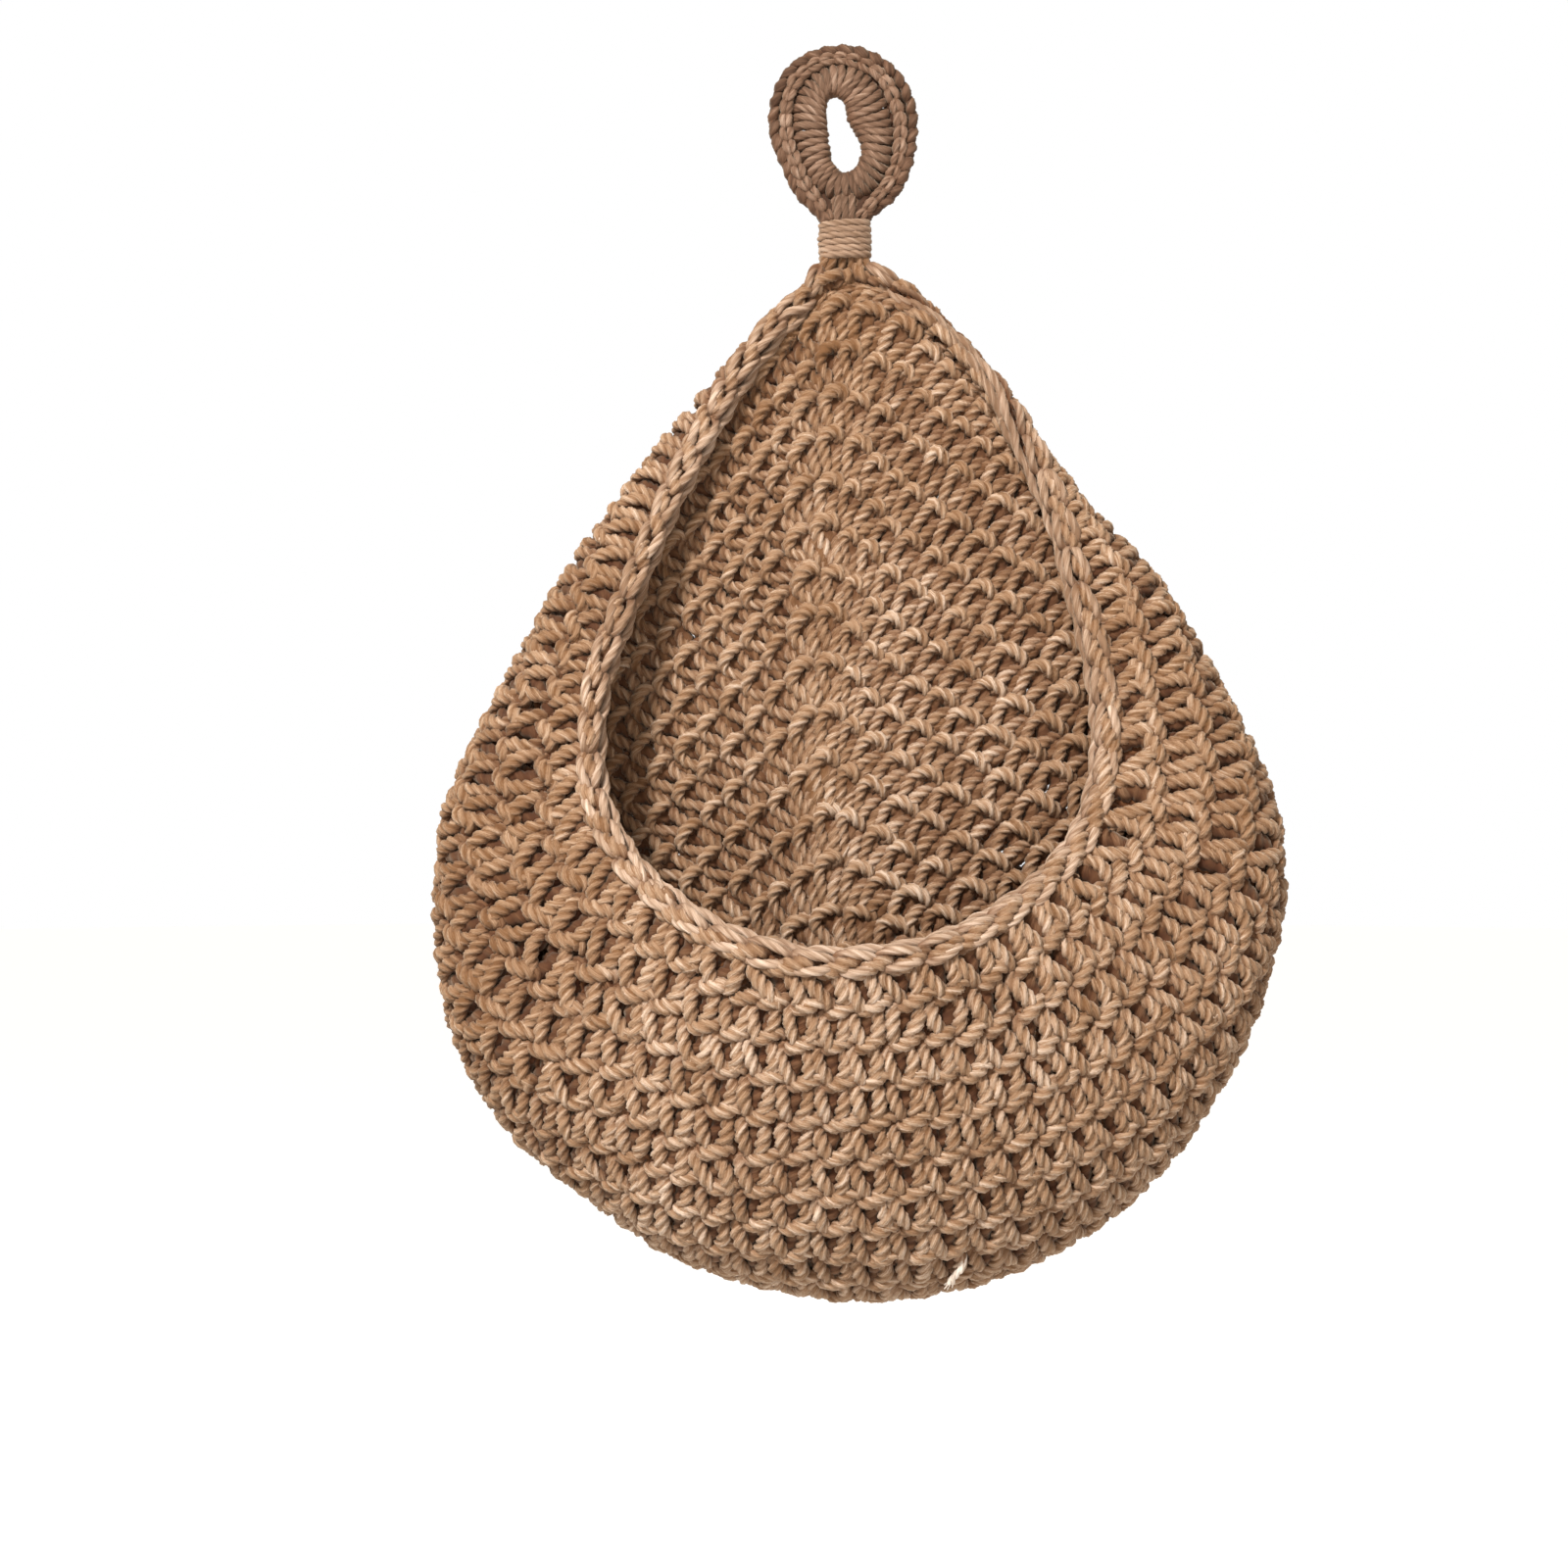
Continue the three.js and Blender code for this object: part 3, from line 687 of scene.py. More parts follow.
# ------------------------------------------------------------------ the stitches
# One single crochet: a is across in stitch widths (the way the yarn is worked),
# w is up in rows, n is outward in millimetres.
STITCH = np.array([
    # the front loop, a slanted bar on the outside at the top of the stitch
    (-0.61, 1.06, -0.30, 0.9), (-0.65, 1.15, 0.75, 1.05), (-0.50, 1.17, 1.65, 1.18), (-0.23, 1.07, 2.10, 1.27), (0.06, 0.94, 1.95, 1.25),
    (0.30, 0.89, 1.00, 1.05), (0.40, 0.97, -0.25, 0.9),
    # the back loop, a short bow on the inside
    (0.34, 0.99, -1.25, 1.0), (0.24, 1.07, -2.10, 1.05), (-0.03, 1.13, -2.50, 1.1), (-0.29, 1.08, -2.45, 1.1), (-0.48, 0.92, -2.05, 1.0),
    # down the inside to the foot
    (-0.48, 0.72, -1.65, 1.0), (-0.39, 0.48, -1.65, 1.05), (-0.27, 0.20, -1.60, 1.0), (-0.16, -0.02, -0.95, 0.9),
    # through to the outside, and up as the first leg
    (-0.14, -0.06, 0.30, 0.9), (-0.16, 0.03, 1.45, 1.05), (-0.24, 0.24, 2.10, 1.15), (-0.29, 0.50, 2.05, 1.15), (-0.24, 0.78, 1.45, 1.05),
    # over the top, inside the front loop
    (-0.06, 0.98, 0.45, 0.9), (0.18, 1.04, 0.05, 0.9), (0.42, 0.96, 0.45, 0.95),
    # down the outside as the second leg
    (0.47, 0.78, 1.45, 1.1), (0.40, 0.50, 2.05, 1.15), (0.27, 0.23, 2.10, 1.15), (0.15, 0.02, 1.40, 1.0), (0.12, -0.07, 0.25, 0.9),
    # through to the inside, and up to the next stitch
    (0.11, -0.03, -0.95, 0.9), (0.11, 0.14, -1.65, 1.05), (0.10, 0.38, -1.80, 1.1), (0.14, 0.60, -1.50, 1.0), (0.24, 0.81, -0.85, 0.9), (0.31, 0.97, -0.50, 0.9),
])
# the strand that runs along inside the fabric and closes the gaps between the stitches
BEHIND = np.array([
    (-0.60, 0.00, -0.20, 1.0), (-0.58, 0.26, -0.75, 1.05), (-0.62, 0.54, -0.65, 1.05), (-0.50, 0.84, -0.15, 1.05),
    (-0.24, 0.86, 0.05, 1.15), (-0.02, 0.72, 0.00, 1.25), (-0.03, 0.46, 0.20, 1.15), (0.10, 0.20, 0.20, 1.05), (0.26, 0.02, 0.00, 1.0),
])
YARN_R = 1.50
PRESS = 0.12
STEP = 0.85


# where the shade of the mouth's left edge falls on the back
MOUTH_LEFT = np.array([[-44.0, -205.0], [-56.0, -185.0], [-60.0, -160.0], [-55.0, -135.0], [-43.0, -110.0], [-30.0, -88.0], [-17.0, -68.0], [-6.0, -52.0], [-2.0, -44.0]])


def round_centre(k, gen, table=STITCH):
    """The yarn's path round one whole round, and the fabric's normals along it."""
    lay = LAYOUT[k - 1]
    n = len(lay["top"])
    top = np.r_[lay["top"][-1] - 1, lay["top"], lay["top"][:2] + 1]
    base = np.r_[lay["base"][-1] - 1, lay["base"], lay["base"][:2] + 1]
    m = len(table)
    i = np.arange(n)
    a = np.tile(table[:, 0], (n, 1))
    w = np.tile(table[:, 1], (n, 1))
    h = np.tile(table[:, 2], (n, 1))
    # each stitch is pulled a little differently, and neighbours alike
    pull = np.stack([smooth_noise(n, 3.0, True, gen) for _ in range(4)], 1)
    a = a * (1 + 0.06 * gen.standard_normal((n, 1)) + 0.06 * pull[:, :1]) + 0.040 * gen.standard_normal((n, 1))
    a = a + (w - 0.5) * (0.07 * gen.standard_normal((n, 1)) + 0.12 * pull[:, 1:2])
    w = w + 0.035 * gen.standard_normal((n, 1)) + 0.055 * pull[:, 2:3] + 0.020 * gen.standard_normal((n, m))
    a = a + 0.018 * gen.standard_normal((n, m))
    h = h + 0.12 * gen.standard_normal((n, 1)) + 0.15 * pull[:, 3:4] + 0.09 * gen.standard_normal((n, m))
    x = i[:, None] + a + 1
    grid = np.arange(n + 3)
    ut = np.interp(x, grid, top)
    ub = np.interp(x, grid, base)
    share = np.clip(w, 0, 1)
    share = share * share * (3 - 2 * share) * 0.4 + share * 0.6
    u = ub * (1 - share) + ut * share
    v = k - 1 + w
    if k == 1:
        v = 0.26 + 0.74 * w
    p, nrm = on_fabric(u, np.clip(v, 0.05, None))
    wall = 0.75 * np.clip(nrm[..., 1], 0, 1) ** 4
    thick = np.tile(table[:, 3], (n, 1))
    # painted light and shade by place: painted light on the front of the pouch and in the middle of the back, painted
    # shadow along the mouth's left edge; darker on both flanks, most on the left, and along the mitre line
    px, py, pz = p[..., 0], p[..., 1], p[..., 2]
    turn = (np.mod(u + 0.5, 1.0) - 0.5) * around(float(k))
    line_gap = np.abs(px - np.interp(pz, MOUTH_LEFT[:, 1], MOUTH_LEFT[:, 0]))
    tone = (0.13 * np.exp(-((px - 2) / 70) ** 2 - ((pz + 238) / 48) ** 2) * np.clip((-py - 16) / 15, 0, 1)
            - 0.13 * np.exp(-((px + 84) / 34) ** 2 - ((pz + 205) / 64) ** 2)
            - 0.05 * np.exp(-((px - 88) / 26) ** 2 - ((pz + 195) / 60) ** 2)
            + 0.13 * np.exp(-((px - 14) / 36) ** 2 - ((pz + 160) / 66) ** 2) * np.clip((8 + py) / 4, 0, 1)
            - 0.16 * np.exp(-(line_gap / 9.0) ** 2) * np.clip((8 + py) / 4, 0, 1) * (px < 4)
            - 0.055 * np.exp(-(turn / 9.0) ** 2) * np.clip((8 + py) / 4, 0, 1))
    # fuller where the stitches are far apart, and where they fan out along the mitre
    t0, t1 = lay["top"], np.r_[lay["top"][1:], lay["top"][0] + 1]
    across = (t1 - t0) * around(float(k))
    across = 0.5 * (across + np.roll(across, 1))
    lo, _ = on_fabric(lay["base"], np.full(n, float(k - 1)))
    hi, _ = on_fabric(lay["top"], np.full(n, float(k)))
    tall = np.linalg.norm(hi - lo, axis=1)
    full = 0.5 * across / 8.3 + 0.5 * tall / 8.5
    if table is BEHIND:
        off = np.minimum(np.mod(u, 1.0), 1 - np.mod(u, 1.0)) * around(float(k))
        thick = thick * np.clip(full, 1.0, 1.45)[:, None] * (1 + 0.15 * np.exp(-(off / 12.0) ** 2))
    else:
        thick = thick * np.clip(full, 0.97, 1.15)[:, None]
    path = (p + nrm * (h - wall)[..., None]).reshape(-1, 3)
    return path, np.concatenate([nrm, h[..., None], thick[..., None], tone[..., None]], -1).reshape(-1, 6)


pieces = []
for k in range(1, ROUNDS + 1):
    gen = np.random.default_rng(100 + k)
    y = Yarn()
    ctrl, with_it = round_centre(k, gen)
    path, with_it = even_curve(ctrl, True, STEP, with_it)
    y.tube(path, True, 1.03 * YARN_R * with_it[:, 4], lay=7.6, depth=0.29, seed=200 + k, wander=0.08, press=(with_it[:, :3], PRESS), height=with_it[:, 3], tint=with_it[:, 5])
    ctrl, with_it = round_centre(k, gen, BEHIND)
    path, with_it = even_curve(ctrl, True, 1.2, with_it)
    # the strand behind is painted darker, as shade in the gaps between the stitches
    y.tube(path, True, 1.66 * with_it[:, 4], sides=8, plies=2, lay=7.0, depth=0.2, seed=400 + k, wander=0.06, press=(with_it[:, :3], 0.1), height=with_it[:, 3] - 0.25, tint=with_it[:, 5] - 0.30)
    node = "start_ring" if k == 1 else ("rim_chain" if k == ROUNDS else f"round_{k:02d}")
    name = "yarn_" + (node if k < ROUNDS else "round_18")
    ob = y.make(name, jute_body)
    pieces.append((ob, node, "basket", "jute_rounds"))

# ------------------------------------------------------------------ the chain round the mouth
def rim_frame(u):
    p, nrm = on_fabric(u, np.full(u.shape, float(ROUNDS)))
    eps = 0.002
    p0, _ = on_fabric(u - eps, np.full(u.shape, float(ROUNDS)))
    p1, _ = on_fabric(u + eps, np.full(u.shape, float(ROUNDS)))
    t = p1 - p0
    t /= np.linalg.norm(t, axis=-1, keepdims=True) + 1e-12
    q, _ = on_fabric(u, np.full(u.shape, ROUNDS - 0.5))
    up = p - q
    up /= np.linalg.norm(up, axis=-1, keepdims=True) + 1e-12
    # high on the right the chain lies on its side
    side = np.exp(-((np.mod(u + 0.5, 1.0) - 0.5 - 0.075) / 0.062) ** 2)[..., None]
    face = np.array([0, -1.0, 0]) * (0.9 - 0.7 * side) + nrm * (0.45 + 0.75 * side) + up * 0.25
    face = face - (face * t).sum(-1, keepdims=True) * t
    face /= np.linalg.norm(face, axis=-1, keepdims=True) + 1e-12
    inner = np.cross(t, face)
    return p, t, inner, face


# next to the neck the two ends of the chain leave the point of the fabric and
# run straight up to the corners of the whipping
REACH_OUT = 13.0
CORNERS = {1: np.array([5.9, -5.0, -42.6]), -1: np.array([-4.4, -6.6, -42.4])}


def chain_line(u):
    """The line of the chain, its directions, and how far it lies on its side."""
    p, t, inner, face = rim_frame(u)
    p, inner = p.copy(), inner.copy()
    turn = np.mod(u + 0.5, 1.0) - 0.5
    far = np.abs(turn) * length
    for sgn in (1, -1):
        start, _, _, _ = rim_frame(np.array([sgn * REACH_OUT / length]))
        k = np.where((np.sign(turn) == sgn) & (far < REACH_OUT), 1 - far / REACH_OUT, 0.0)[..., None]
        k = k ** 1.15
        line = start[0] * (1 - k) + CORNERS[sgn] * k
        ease = np.clip(k * 4, 0, 1)
        p = p * (1 - ease) + line * ease
        new = (start[0] - CORNERS[sgn]) * sgn
        new /= np.linalg.norm(new)
        t = t * (1 - ease) + new * ease
    t /= np.linalg.norm(t, axis=-1, keepdims=True)
    face = face - (face * t).sum(-1, keepdims=True) * t
    face /= np.linalg.norm(face, axis=-1, keepdims=True) + 1e-12
    inner = np.cross(t, face)
    side = np.exp(-((turn - 0.045) / 0.055) ** 2)
    return p, t, inner, face, side


def rim_painted_shade(p):
    """Painted light and shade on the chain: palest along the bottom of the mouth, darker up both sides, most on the
    right.
    """
    up = np.clip((p[:, 2] + 205) / 60, 0, 1)
    return 0.10 * (1 - up) - 0.15 * up - 0.05 * up * (p[:, 0] > 10)


LINKS = 47
LINK = np.array([
    # along, across, out: a loop whose narrow end comes up inside the link before it
    (-0.56, 0.00, -0.75), (-0.47, 0.42, 0.05), (-0.30, 0.66, 0.62), (-0.05, 0.90, 0.70), (0.20, 1.02, 0.35), (0.42, 0.82, -0.25),
    (0.52, 0.35, -0.6), (0.54, 0.0, -0.7), (0.52, -0.35, -0.6), (0.42, -0.82, -0.25), (0.20, -1.02, 0.35),
    (-0.05, -0.90, 0.70), (-0.30, -0.66, 0.62), (-0.47, -0.42, 0.05),
])
gen = np.random.default_rng(77)
chain = Yarn()
length = around(float(ROUNDS))
apex = 3.0 / length
for j in range(LINKS):
    uc = apex / 2 + (1 - apex) * (j + 0.5) / LINKS
    pitch = length * (1 - apex) / LINKS
    tight = 1 - 0.42 * np.exp(-((min(uc, 1 - uc) * length) / 13.0) ** 2)
    u = uc + LINK[:, 0] * pitch / length * (1 + 0.06 * gen.standard_normal())
    p, t, inner, face, side = chain_line(u)
    c = 2.05 * LINK[:, 1] * tight * (1 + 0.08 * gen.standard_normal()) * (1 - 0.42 * side)
    f = (1.55 * LINK[:, 2] + 1.75 + 0.12 * gen.standard_normal()) * (1 - 0.25 * side) * (0.75 + 0.25 * tight)
    skew = 0.35 * gen.standard_normal()
    ctrl = p + inner * (c + 0.2 - 1.1 * side + skew * LINK[:, 0])[:, None] + face * f[:, None]
    path, with_it = even_curve(ctrl, True, 0.7, np.concatenate([face, f[:, None]], 1))
    chain.tube(path, True, 1.14 * (0.82 + 0.18 * tight), seed=1000 + j, lay=10.5, press=(with_it[:, :3], 0.12), height=with_it[:, 3] - 0.2, tint=rim_painted_shade(path))
# the loops behind the chain make one more smooth strand on the inner side
m = 150
u = apex * 0.7 + (1 - 1.4 * apex) * np.arange(m) / (m - 1)
p, t, inner, face, side = chain_line(u)
near = 1 - np.clip(np.minimum(u, 1 - u) * length / 14.0, 0, 1)
wave = 0.45 * np.sin(TAU * LINKS * (u - apex / 2) / (1 - apex)) * (1 - near)
ctrl = p + inner * (3.1 + wave - 2.3 * side * (1 - near) - 1.9 * near)[:, None] + face * (-0.15 - 0.6 * wave + 0.2 * smooth_noise(m, 4, False, gen))[:, None]
path = even_curve(ctrl, False, 0.8)
chain.tube(path, False, 1.18, seed=990, lay=12, tint=rim_painted_shade(path))
ctrl = p + inner * (2.1 - wave - 1.6 * side * (1 - near) - 1.8 * near)[:, None] + face * (-2.1 + 0.5 * wave + 1.0 * near)[:, None]
path = even_curve(ctrl, False, 0.8)
chain.tube(path, False, 1.18, seed=991, lay=12, tint=rim_painted_shade(path) - 0.08)
ob = chain.make("yarn_rim_chain", jute_rim)
pieces.append((ob, "rim_chain", "basket", "jute_rim"))

# ------------------------------------------------------------------ the hanging loop
LOOP_OUTER = np.array([
    [0.6, 11.5], [9.0, 9.6], [15.6, 4.6], [19.2, -3.0], [19.3, -11.0], [17.4, -19.0],
    [14.0, -25.8], [8.2, -30.2], [1.2, -30.6], [-5.6, -30.2], [-11.4, -24.8],
    [-14.4, -18.0], [-17.2, -11.0], [-17.6, -3.0], [-14.4, 4.8], [-8.0, 9.8],
])
LOOP_EYE = np.array([
    [-0.5, 0.0], [1.1, -1.5], [1.8, -4.6], [2.6, -7.8], [4.3, -10.6], [5.2, -14.0],
    [4.5, -17.2], [2.6, -19.0], [0.8, -19.3], [-1.0, -18.7], [-2.6, -17.0],
    [-3.5, -14.0], [-3.6, -10.8], [-3.4, -7.4], [-3.2, -4.0], [-2.2, -1.2],
])
# what the strands leave open of the eye: a slot above a round hole
LOOP_HOLE = np.array([
    [-1.2, -1.3], [0.3, -2.2], [1.1, -4.6], [1.5, -7.6], [3.6, -9.9], [5.0, -13.6],
    [4.4, -16.8], [2.5, -18.8], [0.9, -19.2], [-0.6, -18.4], [-1.9, -16.4],
    [-2.2, -13.6], [-2.7, -10.6], [-2.8, -7.4], [-3.2, -4.2], [-2.7, -2.0],
])
EYE_DEPTH = 3.1


def closed_line(pts, t):
    """Catmull-Rom round a closed outline; t in turns."""
    n = len(pts)
    x = np.mod(t, 1.0) * n
    i = np.floor(x).astype(int)
    f = (x - i)[..., None]
    p0, p1, p2, p3 = pts[(i - 1) % n], pts[i % n], pts[(i + 1) % n], pts[(i + 2) % n]
    return 0.5 * (2 * p1 + (p2 - p0) * f + (2 * p0 - 5 * p1 + 4 * p2 - p3) * f * f + (3 * p1 - p0 - 3 * p2 + p3) * f**3)


def on_loop(t, f, out):
    """A point of the hanging loop: t turns round, f from the eye to the outline, out towards the front."""
    q = closed_line(LOOP_EYE, t) * (1 - f)[..., None] + closed_line(LOOP_OUTER, t) * f[..., None]
    return np.stack([q[..., 0], -EYE_DEPTH - out, q[..., 1]], -1)


# even spacing along the middle of the band
tt = np.linspace(0, 1, 721)
mid = on_loop(tt, np.full(721, 0.5), np.zeros(721))
run = np.r_[0, np.cumsum(np.linalg.norm(np.diff(mid, axis=0), axis=1))]


def even_t(x):
    return np.floor(x) + np.interp(np.mod(x, 1.0) * run[-1], run, tt)


# foundation chain, inside the stitches at the eye
gen = np.random.default_rng(5)
y = Yarn()
for side in (0.0, 0.5):
    x = np.arange(260) / 260
    ph = TAU * (20 * x + side)
    ctrl = on_loop(even_t(x), 0.13 + 0.035 * np.cos(ph), 0.62 * np.sin(ph))
    y.tube(even_curve(ctrl, True, 0.7), True, 0.62, sides=10, seed=31 + int(side * 2), lay=6)
ob = y.make("loop_foundation_yarn", jute_loop)
pieces.append((ob, "loop_foundation_chain", "hanging_loop", "jute_loop"))

# the stitches: yarn worked round the foundation, strand beside strand
y = Yarn()
COILS = 37
per = 14
x = np.arange(COILS * per) / (COILS * per)
ph = TAU * np.arange(COILS * per) / per
amp = 1 + 0.06 * smooth_noise(COILS * per, per, True, gen)
sq = np.cos(ph)
f = 0.5 + 0.5 * amp * np.sign(sq) * np.abs(sq) ** 0.75
o = 1.62 * np.sin(ph) * (1 + 0.10 * smooth_noise(COILS * per, 9, True, gen))
at = even_t(x + 0.004 * np.sin(ph) + 0.0035 * smooth_noise(COILS * per, 20, True, gen))
# the strands press into the eye and leave it the shape of a keyhole
hole, far = closed_line(LOOP_HOLE, at), on_loop(at, np.full(len(at), 0.545), np.zeros(len(at)))[:, [0, 2]]
way = far - hole
way /= np.linalg.norm(way, axis=1, keepdims=True)
q = (hole + way * 1.05) * (1 - f)[:, None] + far * f[:, None]
ctrl = np.stack([q[:, 0], -EYE_DEPTH - o, q[:, 1]], 1)
front = np.tile([0.0, -1.0, 0.0], (len(ctrl), 1))
path, with_it = even_curve(ctrl, True, 0.62, np.concatenate([front, o[:, None]], 1))
y.tube(path, True, 1.15, sides=10, seed=41, lay=8.0, wander=0.09, press=(with_it[:, :3], 0.05), height=with_it[:, 3])
ob = y.make("loop_stitch_yarn", jute_loop)
pieces.append((ob, "loop_stitches", "hanging_loop", "jute_loop"))

# the chain edge of the loop; its two ends run down into the whipping
y = Yarn()
EDGE = 31
FIRST, LAST = 0.562, 1.438
x = np.linspace(FIRST, LAST, 240)
line = on_loop(even_t(x), np.full(240, 0.695), np.full(240, 1.15))
line = even_curve(np.vstack([[[-1.9, -4.6, -31.6], [-3.6, -4.4, -29.2]], line[6:-6:6], [[6.1, -4.4, -29.2], [4.3, -4.6, -31.6]]]), False, 0.25)
line_run = np.r_[0, np.cumsum(np.linalg.norm(np.diff(line, axis=0), axis=1))]
for j in range(EDGE):
    jig = gen.standard_normal(3)
    near = min(j, EDGE - 1 - j)
    slim = 1 - 0.25 * np.exp(-near / 1.5)
    at = line_run[-1] * ((j + 0.5) / EDGE + LINK[:, 0] / EDGE * 1.04)
    c = np.stack([np.interp(at, line_run, line[:, q]) for q in range(3)], 1)
    way = np.stack([np.interp(at + 0.5, line_run, line[:, q]) - np.interp(at - 0.5, line_run, line[:, q]) for q in range(3)], 1)
    inward = np.stack([way[:, 2], 0 * way[:, 0], -way[:, 0]], 1)
    inward /= np.linalg.norm(inward, axis=1, keepdims=True) + 1e-9
    o = 0.75 * LINK[:, 2] + 0.12 * jig[2]
    ctrl = c + inward * (0.95 * LINK[:, 1] * (1 + 0.10 * jig[0]) * slim + 0.1 * jig[1])[:, None] - np.array([0, 1.0, 0]) * o[:, None]
    front = np.tile([0.0, -1.0, 0.0], (len(ctrl), 1))
    path, with_it = even_curve(ctrl, True, 0.6, np.concatenate([front, (o + 1.15)[:, None]], 1))
    y.tube(path, True, 0.98 * slim, sides=10, seed=500 + j, lay=7.0, tint=0.14, press=(with_it[:, :3], 0.1), height=with_it[:, 3])


def edge_strand(f0, f_wave, o0, o_wave, turns, foot, phase=0.0):
    """An open strand round the loop with both ends in the whipping; foot is how far from its middle they end."""
    m = int(turns * 9)
    x = FIRST + (LAST - FIRST) * np.arange(m + 1) / m
    ph = TAU * turns * np.arange(m + 1) / m + phase
    c = on_loop(even_t(x), f0 + f_wave * np.cos(ph), o0 + o_wave * np.sin(ph))
    ends = []
    for end, turn in ((c[0], -1), (c[-1], 1)):
        lo = np.array([1.1 + turn * foot, -3.9, -33.8])
        mid = end * 0.42 + np.array([1.1 + turn * (foot + 0.7), -4.1, -30.6]) * 0.58
        ends.append([mid, lo])
    return np.vstack([ends[0][::-1], c, ends[1]])


# the thick outer row with one swelling for each stitch, the same behind it, and
# the smooth strands under the chain
for f0, f_wave, o0, o_wave, foot, phase, r, tint in (
        (0.880, 0.024, 0.50, 0.60, 3.9, 0.0, 1.42, -0.10), (0.862, 0.024, -1.25, 0.35, 3.4, 0.4, 1.22, -0.10),
        (0.745, 0.012, -0.75, 0.25, 2.9, 1.0, 1.25, -0.05), (0.600, 0.012, -0.70, 0.20, 1.9, 2.0, 1.50, -0.35)):
    ctrl = edge_strand(f0, f_wave, o0, o_wave, 28, foot, phase)
    front = np.tile([0.0, -1.0, 0.0], (len(ctrl), 1))
    path, with_it = even_curve(ctrl, False, 0.62, front)
    y.tube(path, False, r, sides=11, seed=43 + int(f0 * 1000), lay=8.0, wander=0.10, press=(with_it, 0.04), height=-path[:, 1] - EYE_DEPTH, tint=tint)
ob = y.make("loop_edge_yarn", jute_loop)
pieces.append((ob, "loop_edge_chain", "hanging_loop", "jute_loop"))

# ------------------------------------------------------------------ the neck
NECK_TOP, NECK_BOTTOM, NECK_X, NECK_DEPTH = -30.9, -42.0, 1.1, 4.1
HALF_W, HALF_D = 6.6, 4.0
y = Yarn()
turns, r = 6, 1.0
steps = 40
x = np.arange(turns * steps + 1) / steps
ph = TAU * x + 0.8
z = NECK_BOTTOM + r + (NECK_TOP - NECK_BOTTOM - 2 * r) * x / turns
z = z + 0.10 * smooth_noise(len(x), 11, False, gen)
bulge = 0.25 * np.sin(np.pi * x / turns) + 0.12 * smooth_noise(len(x), 17, False, gen)
ctrl = np.stack([NECK_X + (HALF_W - r + bulge) * np.cos(ph), -NECK_DEPTH + (HALF_D - r + bulge * 0.5) * np.sin(ph), z], 1)
# the ends are tucked in
ctrl[0] = ctrl[0] * 0.6 + np.array([NECK_X, -NECK_DEPTH, NECK_BOTTOM + 2.5]) * 0.4
ctrl[-1] = ctrl[-1] * 0.6 + np.array([NECK_X, -NECK_DEPTH, NECK_TOP - 2.5]) * 0.4
y.tube(even_curve(ctrl, False, 0.7), False, r, seed=61, lay=8)
ob = y.make("whipping_yarn", jute_wrap)
pieces.append((ob, "neck_whipping", "neck", "jute_whipping"))

# strands inside the whipping, in two halves: the upper ones close up
# between the ends of the loop, the lower ones spread out
# to the two sides of the rim and to the point of the back
core = []
y = Yarn()
for i, (dx, dy, top) in enumerate(((-3.0, 0.2, -25.2), (-1.5, 1.3, -24.6), (0.0, 1.6, -24.2), (1.5, 1.3, -24.6), (3.0, 0.2, -25.2),
                                   (-1.6, -1.5, -25.0), (0.1, -1.7, -24.6), (1.8, -1.5, -25.0), (-3.6, 0.6, -24.4), (3.6, 0.6, -24.4))):
    zz = np.array([-36.2, -33.5, -30.8, -28.2, top])
    sx = np.array([1.0, 1.02, 1.0, 0.95, 0.85]) if i < 8 else np.array([0.9, 1.0, 1.1, 1.4, 1.75])
    cx = NECK_X + dx * sx + np.array([0, 0.1, -0.15, 0.1, 0]) * (1 if i % 2 else -1)
    cy = -NECK_DEPTH + dy * np.array([0.8, 0.9, 0.9, 0.75, 0.6]) * 0.8 + np.array([0, 0, 0.2, 0.6, 1.0])
    y.tube(even_curve(np.stack([cx, cy, zz], 1), False, 0.7), False, 1.12, sides=10, seed=70 + i, lay=8, tint=-0.16)
core.append(y.make("core_strands_upper", jute_loop))
y = Yarn()
for i, (dx, dy, bx, bz, by) in enumerate((
        (-4.7, -1.4, -7.2, -47.4, -6.2), (-4.1, 0.4, -5.4, -47.6, -4.2), (-2.9, -1.7, -4.6, -46.8, -5.6), (-2.2, 1.3, -2.6, -47.6, -2.9),
        (-0.6, -1.2, -0.4, -46.4, -3.4), (0.4, 1.4, 1.4, -47.6, -2.7), (1.6, -1.3, 3.2, -46.6, -3.4), (2.5, 1.2, 4.8, -47.6, -2.9),
        (3.4, -1.4, 6.8, -46.8, -3.8), (4.5, 0.4, 8.6, -47.4, -3.6), (4.9, -1.0, 9.8, -47.2, -5.0))):
    zz = np.array([-36.8, -39.5, -41.8, -43.6, -45.4, bz])
    k = np.array([0.0, 0.0, 0.08, 0.35, 0.68, 1.0])
    cx = NECK_X + dx * np.array([0.86, 0.9, 0.98, 1, 1, 1]) * (1 - k) + (bx - 0.0) * k + NECK_X * (-k)
    cy = (-NECK_DEPTH + dy) * (1 - k) + by * k
    # the strands on the left are painted darker, as shade on the left below the neck
    y.tube(even_curve(np.stack([cx, cy, zz], 1), False, 0.7), False, 1.22, sides=10, seed=90 + i, lay=9, tint=0.03 * (i % 3) - (0.25 if i < 5 else 0.08))
core.append(y.make("core_strands_lower", jute_body))
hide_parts("neck_core_strands")
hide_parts("neck_core_strands")
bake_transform(core[0])
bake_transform(core[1])

